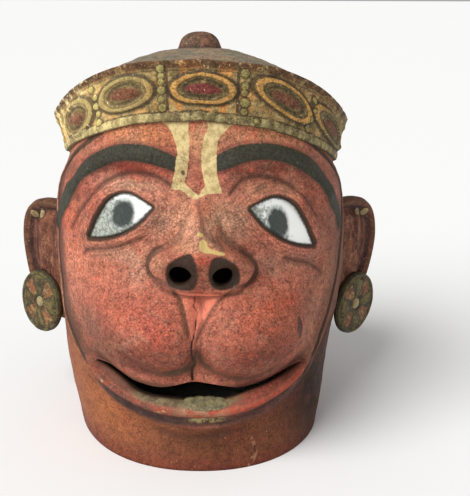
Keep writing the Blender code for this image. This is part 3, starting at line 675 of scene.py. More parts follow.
# broad patches of colour laid on the face: degrees, up, reach in degrees, reach up, strength, colour; on the
# neck they are painted light and shade, lighter on the left, darker in the middle under the lip and darkest
# on the right
headTonesAndShade = (
    (-45, 42, 26, 30, 0.75, (160, 94, 54)),
    (4, 22, 24, 26, 0.88, (90, 50, 28)),
    (52, 46, 24, 56, 0.97, (30, 15, 8)),
    (-76, 130, 9, 80, 0.8, (92, 56, 42)),
    (84, 120, 22, 90, 0.8, (82, 54, 44)),
    (180, 100, 70, 200, 0.75, (108, 66, 50)),
    (0, 0, 300, 10, 0.7, (98, 40, 28)),
    (-58, 236, 10, 22, 0.8, (176, 108, 84)),
    (62, 60, 14, 60, 0.6, (34, 14, 6)),
)
# patches on the face in the same columns; the right side darker than the left and the dark red under the
# lobes are painted shade
faceTonesAndShade = (
    (-24, 256, 19, 11, 0.85, (192, 116, 72)), (0, 254, 5, 18, 0.85, (186, 134, 98)),
    (27, 257, 22, 11, 0.85, (190, 128, 88)), (-52, 240, 12, 16, 0.7, (178, 112, 88)),
    (52, 238, 12, 18, 0.7, (160, 100, 78)),
    (-27, 230, 20, 6.5, 1, (128, 34, 32)), (24, 232, 21, 6.5, 1, (100, 32, 28)),
    (-46, 214, 6, 14, 0.7, (134, 54, 48)), (44, 214, 7, 16, 0.8, (112, 48, 40)),
    (-26, 218, 13, 5, 0.8, (176, 132, 108)), (25, 217, 13, 5, 0.7, (152, 104, 82)),
    (-62, 178, 10, 30, 0.8, (200, 92, 68)), (-50, 152, 15, 15, 0.8, (208, 124, 96)),
    (-54, 126, 10, 22, 0.6, (186, 110, 90)), (56, 176, 9, 34, 0.8, (120, 66, 56)),
    (-14, 194, 5, 15, 0.85, (156, 116, 98)), (13, 196, 5, 16, 0.85, (150, 112, 92)),
    (-5, 194, 5, 18, 0.9, (212, 156, 124)), (5, 192, 5, 17, 0.9, (200, 156, 124)),
    (0, 206, 4, 8, 0.6, (182, 96, 74)), (-5, 180, 7, 6, 0.8, (204, 142, 110)),
    (-14, 168, 5, 9, 0.8, (200, 136, 108)), (13, 167, 4, 8, 0.75, (140, 80, 66)),
    (-6, 176, 4, 3, 0.6, (168, 70, 56)), (5, 177, 4, 3, 0.5, (150, 70, 56)),
    (0.2, 160, 3.4, 15, 1, (120, 12, 8)), (-1, 173, 8, 3, 0.9, (150, 46, 38)),
    (-30, 167, 12, 6, 0.7, (184, 134, 108)),
    (-22, 158, 5, 14, 0.7, (186, 138, 112)), (32, 162, 12, 8, 0.6, (132, 88, 74)),
    (23, 162, 4, 14, 0.5, (136, 94, 80)),
    (-24, 128, 15, 16, 0.85, (172, 82, 64)), (-14, 112, 7, 22, 0.7, (184, 72, 56)),
    (-26, 99, 18, 14, 0.92, (96, 36, 30)), (-22, 88, 16, 6, 0.7, (100, 52, 46)),
    (-42, 108, 9, 16, 0.7, (128, 84, 70)), (-56, 104, 7, 22, 0.6, (140, 92, 74)),
    (18, 126, 14, 18, 0.85, (174, 78, 56)), (30, 118, 10, 16, 0.7, (160, 80, 58)),
    (20, 97, 17, 14, 0.9, (106, 34, 26)), (20, 82, 15, 6, 0.7, (96, 48, 42)),
    (42, 116, 8, 34, 0.75, (144, 88, 68)), (54, 140, 8, 44, 0.75, (150, 92, 70)),
    (42, 88, 9, 10, 0.6, (132, 80, 64)), (-42, 86, 7, 8, 0.5, (140, 92, 78)),
)


def layTones(colour, degrees, up, spots, mask):
    # each spot is mixed in by a bell of its two distances from the middle, as shares of its reaches
    for middle, level, reach, tall, strength, tone in spots:
        gap = (degrees - middle + 180) % 360 - 180
        q = (gap / reach) ** 2 + ((up - level) / tall) ** 2
        share = (strength * np.exp(-q) * mask)[:, None]
        colour = colour * (1 - share) + np.array(paint(*tone)[:3]) * share
    return colour


skin = makeSkin()
cutters = [mouthCutter()] + [nostrilCutter(*hole) for hole in head["nostrils"]]
for side in (-1, 1):
    cutters.append(slab("eyePocket", *eyeOutline(side, 0), -4.0, 20))
cutAway(skin, cutters)
print("face cut")

points = pointsOf(skin.data)
angle, radius, up = around(points)
degrees = np.degrees(angle)
across = radius * np.sin(angle)
fields = faceFields(angle, up)
under = headRadius(angle, points[:, 2]) - radius
inFace = ramp(-1.5, 1.5, fields["face"])
colour = np.tile(np.array(paint(142, 84, 56)[:3]), (len(points), 1))
colour = layTones(colour, degrees, up, headTonesAndShade, np.ones(len(points)))
faceBase = np.array(paint(172, 96, 78)[:3])
colour = colour * (1 - inFace[:, None]) + faceBase * inFace[:, None]
colour = layTones(colour, degrees, up, faceTonesAndShade, inFace)
for name, values in fields.items():
    writeField(skin.data, name, values)
writeField(skin.data, "tone", colour)
writeField(skin.data, "inner", np.clip(under / 4, 0, 1) * (under > 1.2))
writeField(skin.data, "hollow", hollows(skin.data, 14))
ahead = np.cos(angle) > 0.15
writeField(skin.data, "lip", np.where(ahead, up - curve(head["lipCrest"], np.abs(across)), -40.0))
writeField(skin.data, "acrossFace", across)
writeField(skin.data, "slot", np.where(ahead, up - curve(head["slotFoot"], across), -40.0))
writeField(skin.data, "up", up)


def agedSkin(m):  # clouding, grain and specks of the old paint, then brush strokes that follow the eyes
    inFace = m.field("face").between(-2, 2)
    cloud = m.noise(24, 5, 0.65)
    m.lay(cloud.between(0.5, 0.7) * inFace * 0.35, (208, 140, 106))
    m.lay(cloud.between(0.5, 0.3) * 0.45, (116, 52, 40))
    ashen = m.noise(17, 5, 0.7, 0.6, (0.9, 1.1, 1.2))
    m.lay(ashen.between(0.52, 0.64) * inFace * 0.35, (146, 110, 90))
    m.lay(ashen.between(0.44, 0.34) * inFace * 0.5, (186, 72, 52))
    veil = m.mix(m.noise(40, 3).between(0.35, 0.65), (168, 140, 92), (196, 160, 128))
    m.lay(inFace * 0.09, veil)
    strength = inFace * 0.25 + 0.85
    light = (m.noise(5, 4, 0.75) - 0.5) * 2.2 + (m.noise(1.5, 4, 0.85) - 0.5) * 3.4
    m.shade((light * strength + 1.0).atLeast(0.35).atMost(1.6))
    specks = m.noise(2.6, 3, 0.8).between(0.6, 0.68) * inFace
    m.lay(specks * 0.3, (84, 52, 44))
    away = m.field("eye")
    waves = (away * 2.1 + m.noise(9, 3, 0.6) * 14).sine()
    strokes = waves * away.between(-15.5, -11) * away.between(-1, -4)
    m.shade(strokes * 0.16 + 1.0)


def faceEdgePaint(m, wobble):  # salmon ridge, lighter on the left and darker on the right as painted light and shade, the dark line, and painted shade inside the face's edge
    up = m.field("up")
    toRight = m.field("acrossFace").between(-20, 30)
    face = m.field("face") + wobble * 0.5
    ridgeMask = face.between(-7, -5) * face.between(-1.4, -2.6) * up.between(242, 230) * up.between(60, 90)
    # lighter on the left and darker on the right: painted light and shade
    salmon = m.mix(toRight, (208, 146, 118), (138, 92, 70))
    salmon = m.mix(m.noise(7, 4).between(0.4, 0.6), (140, 88, 68), salmon)
    m.lay(ridgeMask * 0.75, salmon)
    edgeLine = abs(face).between(3.2, 1.2) * up.between(262, 246) * up.between(40, 80)
    m.lay(edgeLine * 0.85, (54, 46, 36))
    # painted shade inside the face's edge
    inward = face.between(0.5, 2.5) * face.between(21, 5) * up.between(60, 90) * up.between(236, 205)
    m.lay(inward * (0.85 - toRight * 0.35), (82, 50, 38))


def browPaint(m, wobble, shake):  # brows with a soft lower edge, worn tilak, lines of the lids and grooves
    brow = m.field("brow") + wobble * 0.4 + 0.7
    m.lay(brow.between(-3.5, -0.2) * 0.5, (86, 44, 40))
    browTone = m.mix(m.noise(2.2, 3, 0.7).between(0.3, 0.7), (44, 44, 35), (68, 67, 54))
    m.lay(brow.between(-0.7, 0.5), browTone)
    tilak = m.field("tilak") + shake * 0.5
    worn = m.noise(5, 5, 0.75)
    cream = m.mix(worn.between(0.4, 0.6), (184, 158, 108), (218, 196, 140))
    m.lay(tilak.between(-0.4, 0.3) * worn.between(0.28, 0.38), cream)
    lid = m.field("lid") + shake * 0.4
    m.lay(lid.between(-3.6, 0.5) * 0.55, (88, 56, 46))
    groove = m.field("groove") + shake * 0.5
    m.lay(groove.between(-1.6, 0.8) * 0.65, (84, 66, 54))


def muzzlePaint(m, shake):  # nostrils, philtrum and painted shade under the lobes
    philtrum = m.field("philtrum") + shake * 0.5
    flesh = m.mix(m.noise(5, 4, 0.75), (240, 152, 122), (220, 114, 90))
    m.lay(philtrum.between(-0.8, 1.0) * 0.88, flesh)
    # painted shade under the lobes, broad and soft
    lobeFoot = m.field("lobeFoot") + shake * 0.5
    m.lay(lobeFoot.between(-9.0, 0.5) * 0.5, (84, 34, 28))
    nostril = m.field("nostril") + shake * 0.4
    m.lay(nostril.between(-1.2, 0.6) * 0.95, m.mix(m.noise(3, 3), (24, 22, 18), (60, 52, 40)))


def lipPaint(m, wobble):
    # from the lower lip's foot up: painted shade under the crest, crest, pale middle, lining, flushed right
    across = m.field("acrossFace")
    toRight = across.between(-20, 30)
    lip = m.field("lip") + wobble * 0.8
    within = abs(across).between(88, 72)
    scuffed = m.noise(7, 4, 0.7)
    # painted shade under the rolled lip's crest
    underLipShade = lip.between(-19, -14) * lip.between(-4, -7) * within * (0.95 - toRight * 0.15)
    m.lay(underLipShade, m.mix(scuffed.between(0.35, 0.6), (50, 38, 40), (78, 58, 52)))
    crest = m.mix(toRight, m.mix(scuffed.between(0.42, 0.58), (154, 72, 54), (104, 68, 56)),
                  m.mix(scuffed.between(0.42, 0.58), (184, 78, 56), (140, 64, 48)))
    m.lay(lip.between(-7, -4.5) * lip.between(3, 0.5) * within * 0.85, crest)
    pale = across.between(-28, -5) * across.between(34, 14) * lip.between(-6, -4) * lip.between(5, 2)
    m.lay(pale * scuffed.between(0.36, 0.56) * 0.5, (196, 152, 118))
    lining = m.mix(toRight, m.mix(scuffed, (132, 88, 72), (80, 58, 48)), (96, 54, 44))
    m.lay(lip.between(1, 4) * lip.between(22, 16) * within * 0.8, lining)
    flush = lip.between(0, 3) * lip.between(14, 7) * across.between(12, 30) * across.between(72, 56)
    m.lay(flush * 0.65, m.mix(scuffed.between(0.4, 0.6), (186, 94, 74), (134, 74, 58)))


def mouthEdgePaint(m, wobble, shake):  # olive lining by the mouth's edge, cream chips along the crest
    across = m.field("acrossFace")
    lip = m.field("lip") + wobble * 0.8
    slot = m.field("slot") + shake
    olive = slot.between(-5.5, -1.5) * lip.between(0, 3) * slot.between(3, 1) * across.between(40, 20)
    m.lay(olive * across.between(-56, -40) * 0.8,
          m.mix(m.noise(7, 4, 0.7).between(0.4, 0.6), (92, 84, 62), (138, 128, 94)))
    chips = m.noise(4, 5, 0.8).between(0.58, 0.63) * lip.between(-9, -6) * lip.between(4, 0)
    m.lay(chips * abs(across).between(88, 72) * across.between(40, -10), (206, 178, 128))
    greenChip = m.noise(4, 4, 0.8).between(0.44, 0.5) * lip.between(-14, -11) * lip.between(-6, -8)
    m.lay(greenChip * abs(across - 6).between(19, 7) * 0.85, (180, 166, 110))


def eyeEdgePaint(m, shake):  # dark edges round the eyes, the yellow daub on the nose, the cheek's scar
    eye = m.field("eye") + shake * 1.0
    m.lay(eye.between(-2.9, -1.1) * 0.9, (44, 38, 28))
    yellow = m.field("yellow") + shake * 0.7
    m.lay(yellow.between(-0.5, 0.3), (204, 176, 112))
    scar = m.field("scar") + shake * 0.5
    m.lay(scar.between(-0.5, 0.3) * 0.8, (66, 50, 42))


def skinWear(m, fine, shake, net, grimeAndShade):  # flecks, craquelure, grime and painted shade in the hollows, the splits and the chips beside them
    flecks = m.noise(2.4, 3, 0.6)
    m.lay(flecks.between(0.69, 0.74) * 0.5, (222, 184, 150))
    m.lay(flecks.between(0.34, 0.28) * 0.65, (62, 40, 36))
    m.lay(net * 0.4, (80, 50, 42))
    # grime and painted shade in the hollows
    m.lay(grimeAndShade * 0.45, (66, 48, 40))
    splits = m.field("crack").atLeast(m.field("neckCrack") - 0.2) + fine * 0.25
    m.lay(splits.between(-0.25, 0.25), (34, 24, 22))
    neckChip = (m.field("neckCrack") + shake * 0.5).between(-1.6, -0.8)
    m.lay(neckChip * m.noise(4, 3).between(0.45, 0.55) * 0.5, (176, 130, 100))


def skinFinish():
    m = Finish("paintedSkin")
    wobble = (m.noise(5, 3) - 0.5) * 2.4  # millimetres by which the drawn edges waver
    fine = (m.noise(1.6, 3, 0.7) - 0.5) * 1.6
    shake = wobble + fine
    net = m.cracks(3.2, 1.0).between(0.05, 0.012) * m.noise(20, 2).between(0.45, 0.62)
    # darker paint in the hollows: grime and painted shade
    grimeAndShade = m.field("hollow").between(0.06, 0.6)
    # the laid patches of colour, with the painted light and shade on the neck and face among them
    m.colour = m.colourField("tone")
    agedSkin(m)
    faceEdgePaint(m, wobble)
    browPaint(m, wobble, shake)
    muzzlePaint(m, shake)
    lipPaint(m, wobble)
    mouthEdgePaint(m, wobble, shake)
    eyeEdgePaint(m, shake)
    skinWear(m, fine, shake, net, grimeAndShade)
    raw = m.mix(m.noise(9, 4), (54, 42, 34), (98, 76, 56))
    m.lay(m.field("inner").between(0.2, 0.6), raw)
    rough = m.noise(12, 3) * 0.25 + 0.5 + grimeAndShade * 0.15
    height = m.noise(1.4, 4, 0.7) * 0.6 + m.noise(6, 4, 0.6) - net * 0.3
    return m.done({"Base Color": m.colour, "Roughness": rough, "Normal": m.bump(height, 0.0007),
                   "Specular IOR Level": 0.2})


onHead(skin, skinFinish(), "head_shell")


# the crown band
def ovalShare(degrees, share):  # 1 on the nearest oval's edge, and its own two coordinates
    best = np.full(degrees.shape, 9.0)
    along, above = np.zeros(degrees.shape), np.zeros(degrees.shape)
    for middle, level, rightTurn, rightUp, topTurn, topUp in crown["ovals"]:
        du = (degrees - middle + 180) % 360 - 180
        dv = share - level
        whole = rightTurn * topUp - topTurn * rightUp
        a = (du * topUp - topTurn * dv) / whole
        b = (rightTurn * dv - rightUp * du) / whole
        q = np.hypot(a, b)
        closer = q < best
        best = np.where(closer, q, best)
        along, above = np.where(closer, a, along), np.where(closer, b, above)
    return best, along, above


def beadField(degrees, share, high):  # millimetres inside the nearest bead, negative outside
    best = np.full(degrees.shape, -9.0)
    for middle, level, radius in crown["beads"]:
        du = ((degrees - middle + 180) % 360 - 180) * 112 * np.pi / 180
        best = np.maximum(best, radius - np.hypot(du, (share - level) * high * 1.05))
    return best


def makeBand():
    # a closed ring: the carved outside, the lip, the top tucked under the dome and the hollow side; outside,
    # the radius is the band's plus the ovals' profile, round beads and lumps, with a worn top edge
    angle = np.linspace(-np.pi, np.pi, crown["columns"], endpoint=False)
    foot, high = bandFoot(angle), bandHeight(angle)
    seat = headRadius(angle, foot, 0)
    share = np.linspace(0, 1, 50)[:, None]
    degrees = np.broadcast_to(np.degrees(angle), (50, len(angle)))
    q, _, _ = ovalShare(degrees, np.broadcast_to(share, degrees.shape))
    boss = curve(((0, 1.1), (0.3, 1.0), (0.56, 0.35), (0.66, 0.8), (0.9, 1.0), (1.0, 0.45), (1.08, 0)), q)
    shown = 1 - 0.55 * ramp(78, 88, fromFront(angle))
    bead = beadField(degrees, share, high)
    beads = 1.5 * np.sqrt(np.clip(bead, 0, 3) / 3)
    radius = bandRadius(angle, share) + crown["ovalRaise"] * boss * shown + beads
    rows = place(angle, foot + share * high, radius)
    radius = radius + 0.22 * lumps(rows, 14, 11) + 0.1 * lumps(rows, 5, 12)
    rough = (0.5 * lumps(rows[-1], 16, 13) + 0.4 * lumps(rows[-1], 6, 14))[None] * ramp(0.8, 1.0, share)
    rows = place(angle, foot + share * high - 0.4 * np.abs(rough), radius + 0.5 * rough)
    brim = bandRadius(angle, 1.0)
    lip = [place(angle, foot + high + 0.3, brim - 1.2), place(angle, foot + high, brim - 2.6),
           place(angle, foot + high - 1.2, brim - crown["lip"]), place(angle, foot + high - 6, brim - 8),
           place(angle, foot + high - 12, seat - 6.5)]
    back = [place(angle, foot + k * (high - 12), seat - 7) for k in (0.98, 0.5, 0)]
    return makePiece("crownBand", np.concatenate((rows, np.array(lip + back))))


band = makeBand()
points = pointsOf(band.data)
angle, radius, _ = around(points)
degrees = np.degrees(angle)
high = bandHeight(angle)
share = (points[:, 2] - bandFoot(angle)) / high
q, along, above = ovalShare(degrees, share)
core = np.hypot(along / 0.55, above / 0.34)
writeField(band.data, "oval", q)
writeField(band.data, "core", core)
writeField(band.data, "bead", beadField(degrees, share, high))
writeField(band.data, "share", share)
writeField(band.data, "degrees", degrees)
writeField(band.data, "hollow", hollows(band.data, 8))
writeField(band.data, "inner", (bandRadius(angle, np.clip(share, 0, 1)) - radius > 5.5).astype(float))


def ovalPaint(m, oval, core, degrees, front):  # ochre ring, dark line, olive field, red core, inner line
    m.lay(oval.between(1.06, 1.0) * oval.between(0.66, 0.72) * 0.9,
          m.mix(degrees.between(-24, -8) * degrees.between(60, 46), (126, 110, 68), (182, 136, 74)))
    m.lay(abs(oval - 1.0).between(0.1, 0.04) * 0.9, (64, 54, 38))
    m.lay(oval.between(0.78, 0.68) * 0.92, m.mix(m.noise(3, 4), (66, 58, 38), (132, 114, 70)))
    m.lay(core.between(1.3, 0.65) * (0.6 + front * 0.3),
          m.mix(m.noise(2.4, 3), (82, 32, 34), (128, 52, 50)))
    m.lay(abs(oval - 0.71).between(0.05, 0.02) * 0.6, (78, 62, 42))


def stripPaint(m, degrees, share):
    # the front panel's side lines, the foot strip with its lines, the maroon strip under the worn top edge
    panel = abs(abs(degrees - 0.6) - 12.6).between(0.75, 0.35)
    m.lay(panel * share.between(0.17, 0.2) * share.between(0.86, 0.83) * 0.85, (62, 50, 38))
    dashes = m.noise(5, 3, 0.6, stretch=(1.0, 1.0, 0.4))
    stripTone = m.mix(dashes.between(0.36, 0.66), (102, 90, 60), (160, 146, 100))
    m.lay(share.between(0.17, 0.13) * 0.85, stripTone)
    m.lay(abs(share - 0.165).between(0.022, 0.008) * m.noise(8, 3).between(0.36, 0.5) * 0.8, (60, 50, 38))
    m.lay(share.between(0.03, 0.0) * 0.8, (66, 58, 44))
    maroon = share.between(0.84, 0.9) * m.noise(10, 4, 0.7).between(0.36, 0.5)
    m.lay(maroon * 0.85, m.mix(m.noise(4, 3), (56, 34, 24), (98, 62, 42)))
    m.lay(abs(share - 0.845).between(0.02, 0.005) * 0.6, (62, 50, 38))


def bandWear(m, degrees, share, oval):
    # wear to the cream ground, chips, flecks, grime and painted shade in the hollows, then grain, lighter
    # round the left
    leftEnd = degrees.between(-40, -66) * degrees.between(-120, -96)
    worn = m.noise(9, 4, 0.75).between(0.5, 0.6) * leftEnd * share.between(0.35, 0.75)
    m.lay(worn * 0.7, (214, 194, 142))
    chips = m.noise(6, 4, 0.75).between(0.55, 0.6) * share.between(0.9, 1.0)
    m.lay(chips * (degrees.between(-30, -55) * 0.7 + 0.2), (222, 200, 158))
    flecks = m.noise(2, 2)
    m.lay(flecks.between(0.68, 0.73) * 0.6, (222, 200, 150))
    m.lay(flecks.between(0.34, 0.28) * 0.55, (60, 48, 36))
    # grime and painted shade in the hollows
    m.lay(m.field("hollow").between(0.02, 0.25) * 0.6, (58, 48, 36))
    grain = (m.noise(1.5, 4, 0.85) - 0.5) * 3.4 + (m.noise(6, 4, 0.75) - 0.5) * 1.8
    # lighter round the left
    lighterLeft = degrees.between(-5, -40) * degrees.between(-130, -90) * share.between(0.94, 0.8)
    lighterLeft = lighterLeft * (oval.between(0.5, 0.75) * 0.8 + 0.4)
    m.shade((grain + 1.0 + lighterLeft).atLeast(0.4).atMost(2.4))


def bandFinish():
    m = Finish("paintedCrown")
    wobble = m.noise(4, 3) - 0.5
    degrees = m.field("degrees")
    oval = m.field("oval") + wobble * 0.10
    share = m.field("share") + wobble * 0.06
    front = abs(degrees).between(30, 8)
    m.colour = m.mix(m.noise(9, 4, 0.65).between(0.35, 0.65), (112, 94, 58), (168, 142, 92))
    # orange corners, strongest by the front panel
    corner = m.noise(13, 2).between(0.47, 0.58) * share.between(0.12, 0.2) * (0.25 + front * 0.75)
    m.lay(corner * 0.8, (190, 128, 66))
    ovalPaint(m, oval, m.field("core") + wobble * 1.1, degrees, front)
    stripPaint(m, degrees, share)
    # beads
    bead = m.field("bead") + wobble * 0.5
    m.lay(bead.between(-1.0, -0.2) * 0.75, (74, 62, 40))
    m.lay(bead.between(0.0, 0.8), m.mix(m.noise(4, 3), (104, 94, 52), (166, 152, 92)))
    bandWear(m, degrees, share, oval)
    m.lay(m.field("inner"), (96, 76, 56))
    height = m.noise(1.5, 4, 0.7) * 0.6 + m.noise(5, 4, 0.6) * 0.8
    return m.oldPaint(0.5, height, 0.0006)


onHead(band, bandFinish(), "head_shell")

# the dome and its finial
dome = {"top": 312.5, "fullness": 2.15, "finialRadius": 18.0, "finialHeight": 12.0, "columns": 360,
        "knob": ((0, 1.0), (0.2, 0.99), (0.35, 0.95), (0.5, 0.87), (0.67, 0.71), (0.8, 0.52), (0.92, 0.26),
                 (1.0, 0.0))}


def makeDome():
    # hollow side from its crest down, then the outside from the brim up to the knob's tip; each rises
    # from the brim by one less the reach's power, and the knob follows its own profile
    angle = np.linspace(-np.pi, np.pi, dome["columns"], endpoint=False)
    foot, high = bandFoot(angle), bandHeight(angle)
    inBrim = headRadius(angle, foot, 0) - head["wall"]
    inZ = foot + high - 11.2
    rows = []
    for reach in (0.2, 0.4, 0.55, 0.68, 0.78, 0.86, 0.93, 0.97, 1.0):
        z = inZ + (dome["top"] - head["wall"] - inZ) * (1 - reach ** dome["fullness"])
        rows.append(place(angle, z, inBrim * reach - (1.5 if reach == 1 else 0)))
    brim = bandRadius(angle, 1.0) - crown["lip"]
    brimZ = foot + high - 1.0
    spread = dome["finialRadius"] / brim
    rows.append(place(angle, brimZ - 3, brim + 0.5))
    outer = len(rows)
    for inward in np.linspace(0, 1, 64) ** 1.15:
        reach = 1 - inward * (1 - spread)
        z = brimZ + (dome["top"] - brimZ) * (1 - reach ** dome["fullness"])
        rows.append(place(angle, z, brim * reach))
    grid = np.array(rows)
    outside = grid[outer:]
    uneven = 0.5 * lumps(outside, 38, 21) + 0.25 * lumps(outside, 12, 22) + 0.12 * lumps(outside, 5, 23)
    fade = ramp(0, 5, np.arange(len(outside)))[:, None]
    outside[..., 2] += (uneven - 0.5) * fade
    tip = grid[-1]
    knobRows = []
    for wide in np.sin(np.linspace(1, 0.03, 26) * np.pi / 2):
        ring = tip * (wide, wide, 0)
        lift = dome["finialHeight"] * curve(dome["knob"], np.full(len(angle), wide))
        ring[:, 2] = tip[:, 2] + (dome["top"] - tip[:, 2]) * ramp(1.0, 0.8, wide) + lift
        ring[:, 2] += (0.3 * lumps(ring, 9, 24) - 0.35) * ramp(1.0, 0.8, wide)
        knobRows.append(ring)
    grid = np.concatenate((grid, np.array(knobRows[1:])))
    crest = np.array((0, 0, dome["top"] - head["wall"]))
    peak = grid[-1].mean(0)
    return makePiece("crownDome", grid, crest, peak)


domePiece = makeDome()
points = pointsOf(domePiece.data)
writeField(domePiece.data, "reach", np.hypot(points[:, 0], points[:, 1]))
writeField(domePiece.data, "up", points[:, 2])
writeField(domePiece.data, "hollow", hollows(domePiece.data, 10))


def domeFinish():
    m = Finish("paintedDome")
    patchy = m.noise(22, 4, 0.65)
    m.colour = m.mix(patchy.between(0.38, 0.6), (122, 118, 98), (148, 124, 98))
    m.lay(m.noise(9, 4, 0.7).between(0.55, 0.68) * 0.7, (172, 134, 120))
    m.lay(m.noise(11, 4, 0.7).between(0.45, 0.32) * 0.6, (84, 78, 66))
    knob = m.field("reach").between(18.6, 17.6)
    knobTone = m.mix(m.noise(7, 4, 0.7).between(0.42, 0.6), (88, 70, 52), (128, 90, 72))
    m.lay(knob, knobTone)
    m.lay(abs(m.field("reach") - 18.3).between(1.4, 0.4) * 0.6, (62, 50, 42))
    net = m.cracks(7, 2.0)
    lines = net.between(0.06, 0.015) * m.noise(26, 2).between(0.4, 0.58)
    m.lay(lines * 0.4, (64, 56, 48))
    flecks = m.noise(2, 2)
    m.lay(flecks.between(0.67, 0.73) * 0.5, (206, 186, 156))
    m.lay(flecks.between(0.34, 0.28) * 0.6, (58, 52, 44))
    m.grain(1.8, 1.4)
    height = m.noise(1.6, 4, 0.7) * 0.6 + m.noise(6, 4, 0.6) - lines * 0.5
    return m.oldPaint(0.52, height, 0.0007)


onHead(domePiece, domeFinish(), "head_shell")

# ears and their flower discs: plates in a plane that turns back from the face
ear = {"turn": np.radians(46), "out": 113.5, "front": -4.0, "reach": 59.0, "top": 185.0, "foot": 80.0,
       "thickness": 10.0, "rim": 2.5, "spokes": 160,
       "studs": ((0.69, 168, 3.8), (0.5, 170, 3.6))}  # share of the reach, up, radius
disc = {"radius": 27.8, "height": 89.5, "across": 28.0, "face": 10.3, "spokes": 176}


def earPlace(side, across, up, out):  # along the ear's plane, up, and out of its front
    x = ear["out"] + across * np.cos(ear["turn"]) + out * np.sin(ear["turn"])
    y = ear["front"] + across * np.sin(ear["turn"]) - out * np.cos(ear["turn"])
    return np.stack(np.broadcast_arrays(side * x - neckSway(up), y, up), axis=-1)


def discMiddle(side):
    return disc["height"] - head["lean"] * side * ear["out"]


def makeEar(side):
    # rings from the middle of the front out to the edge, round it, and in again behind; the outline is a
    # rounded box that narrows downwards, and bells raise the rim and the spine beside two valleys
    turn = np.linspace(0, 2 * np.pi, ear["spokes"], endpoint=False)
    s, c = np.sin(turn), np.cos(turn)
    middle, half = 0.5 * (ear["top"] + ear["foot"]), 0.5 * (ear["top"] - ear["foot"])
    lift = np.sign(s) * np.abs(s) ** 0.6
    reach = ear["reach"] * (1 - 0.24 * ramp(0.3, -1, lift))
    wide = np.where(c > 0, reach, 16) * np.sign(c) * np.abs(c) ** 0.6
    share = np.concatenate((np.linspace(0.02, 0.8, 34), np.linspace(0.815, 1, 20)))[:, None]
    across = share * wide
    up = middle + share * half * lift
    height = 0.5 * ear["thickness"] + ear["rim"] * ridge((share - 0.93) / 0.07) * ramp(80, 96, up)
    height = height - 2.6 * ridge((share - 0.8) / 0.08) * ramp(100, 112, up)
    spine = across / ear["reach"]
    height = height + 1.8 * ridge((spine - 0.48) / 0.1) * ramp(185, 160, up) * ramp(0.9, 0.7, share)
    height = height - 1.4 * ridge((spine - 0.66) / 0.04) * ramp(176, 164, up) * ramp(104, 118, up)
    height = height - 3.0 * ramp(0.95, 1.0, share) ** 2
    inStud = np.full(up.shape, -9.0)
    for part, studUp, radius in ear["studs"]:
        gone = np.hypot(across - part * ear["reach"], up - studUp)
        height = height + 2.2 * np.sqrt(np.clip(1 - (gone / radius) ** 2, 0, 1))
        inStud = np.maximum(inStud, radius + 0.2 - gone)
    fromDisc = np.hypot(across - disc["across"], up - discMiddle(side))
    height = np.where(fromDisc < disc["radius"] + 0.5, np.minimum(height, 5.3), height)
    front = earPlace(side, across, up, height)
    backShare = np.array((1.0, 0.985, 0.95, 0.8, 0.6, 0.4, 0.2, 0.03))[:, None]
    backOut = np.array((-1.5, -3.6, -5, -5, -5, -5, -5, -5))[:, None]
    backUp = middle + backShare * half * lift
    back = earPlace(side, backShare * wide, backUp, backOut)
    name = "earLeft" if side < 0 else "earRight"
    piece = makePiece(name, np.concatenate((front, back)), front[0].mean(0), back[-1].mean(0))
    parts = {"share": (np.broadcast_to(share, up.shape), np.broadcast_to(backShare, backUp.shape)),
             "across": (across, backShare * wide), "up": (up, backUp),
             "stud": (inStud, np.full(backUp.shape, -9.0))}
    for field, (ahead, behind) in parts.items():  # both sides' points, then the two poles
        values = np.concatenate((ahead.ravel(), behind.ravel(), (ahead[0].mean(), behind[-1].mean())))
        writeField(piece.data, field, values)
    writeField(piece.data, "hollow", hollows(piece.data, 6))
    return piece


def earFinish():
    m = Finish("paintedEar")
    wobble = m.noise(4, 3) - 0.5
    cloud = m.noise(14, 4, 0.65)
    m.colour = m.mix(cloud.between(0.36, 0.64), (86, 48, 36), (126, 78, 56))
    streaks = m.noise(4, 4, 0.7, stretch=(1.0, 1.0, 0.3)).between(0.5, 0.66)
    m.lay(streaks * 0.45, (176, 124, 98))
    share = m.field("share") + wobble * 0.03
    rim = share.between(0.87, 0.9)
    m.lay(rim * 0.7, m.mix(m.noise(6, 3), (82, 56, 42), (118, 82, 60)))
    m.lay(abs(share - 0.84).between(0.045, 0.015) * m.field("up").between(104, 116) * 0.8, (58, 40, 40))
    spine = m.field("across") + wobble * 2
    up = m.field("up")
    dark = abs(spine - 40).between(3.2, 1.2) * up.between(108, 120) * up.between(172, 162)
    m.lay(dark * m.noise(6, 4, 0.7).between(0.36, 0.56) * 0.6, (72, 44, 46))
    stud = m.field("stud") + wobble * 0.6
    m.lay(stud.between(-0.9, -0.2) * 0.7, (74, 50, 42))
    m.lay(stud.between(0.1, 0.9), m.mix(m.noise(4, 3), (134, 112, 76), (180, 160, 114)))
    net = m.cracks(3, 1.0)
    lines = net.between(0.06, 0.02) * m.noise(12, 2).between(0.4, 0.55)
    m.lay(lines * 0.5, (70, 42, 38))
    flecks = m.noise(2, 2)
    m.lay(flecks.between(0.68, 0.74) * 0.6, (222, 186, 150))
    # grime and painted shade in the hollows
    m.lay(m.field("hollow").between(0.05, 0.4) * 0.6, (58, 38, 36))
    m.grain(2.6, 2.0)
    height = m.noise(1.5, 4, 0.7) * 0.6 + m.noise(5, 4, 0.6) * 0.8 - lines * 0.4
    return m.oldPaint(0.5, height, 0.0006)


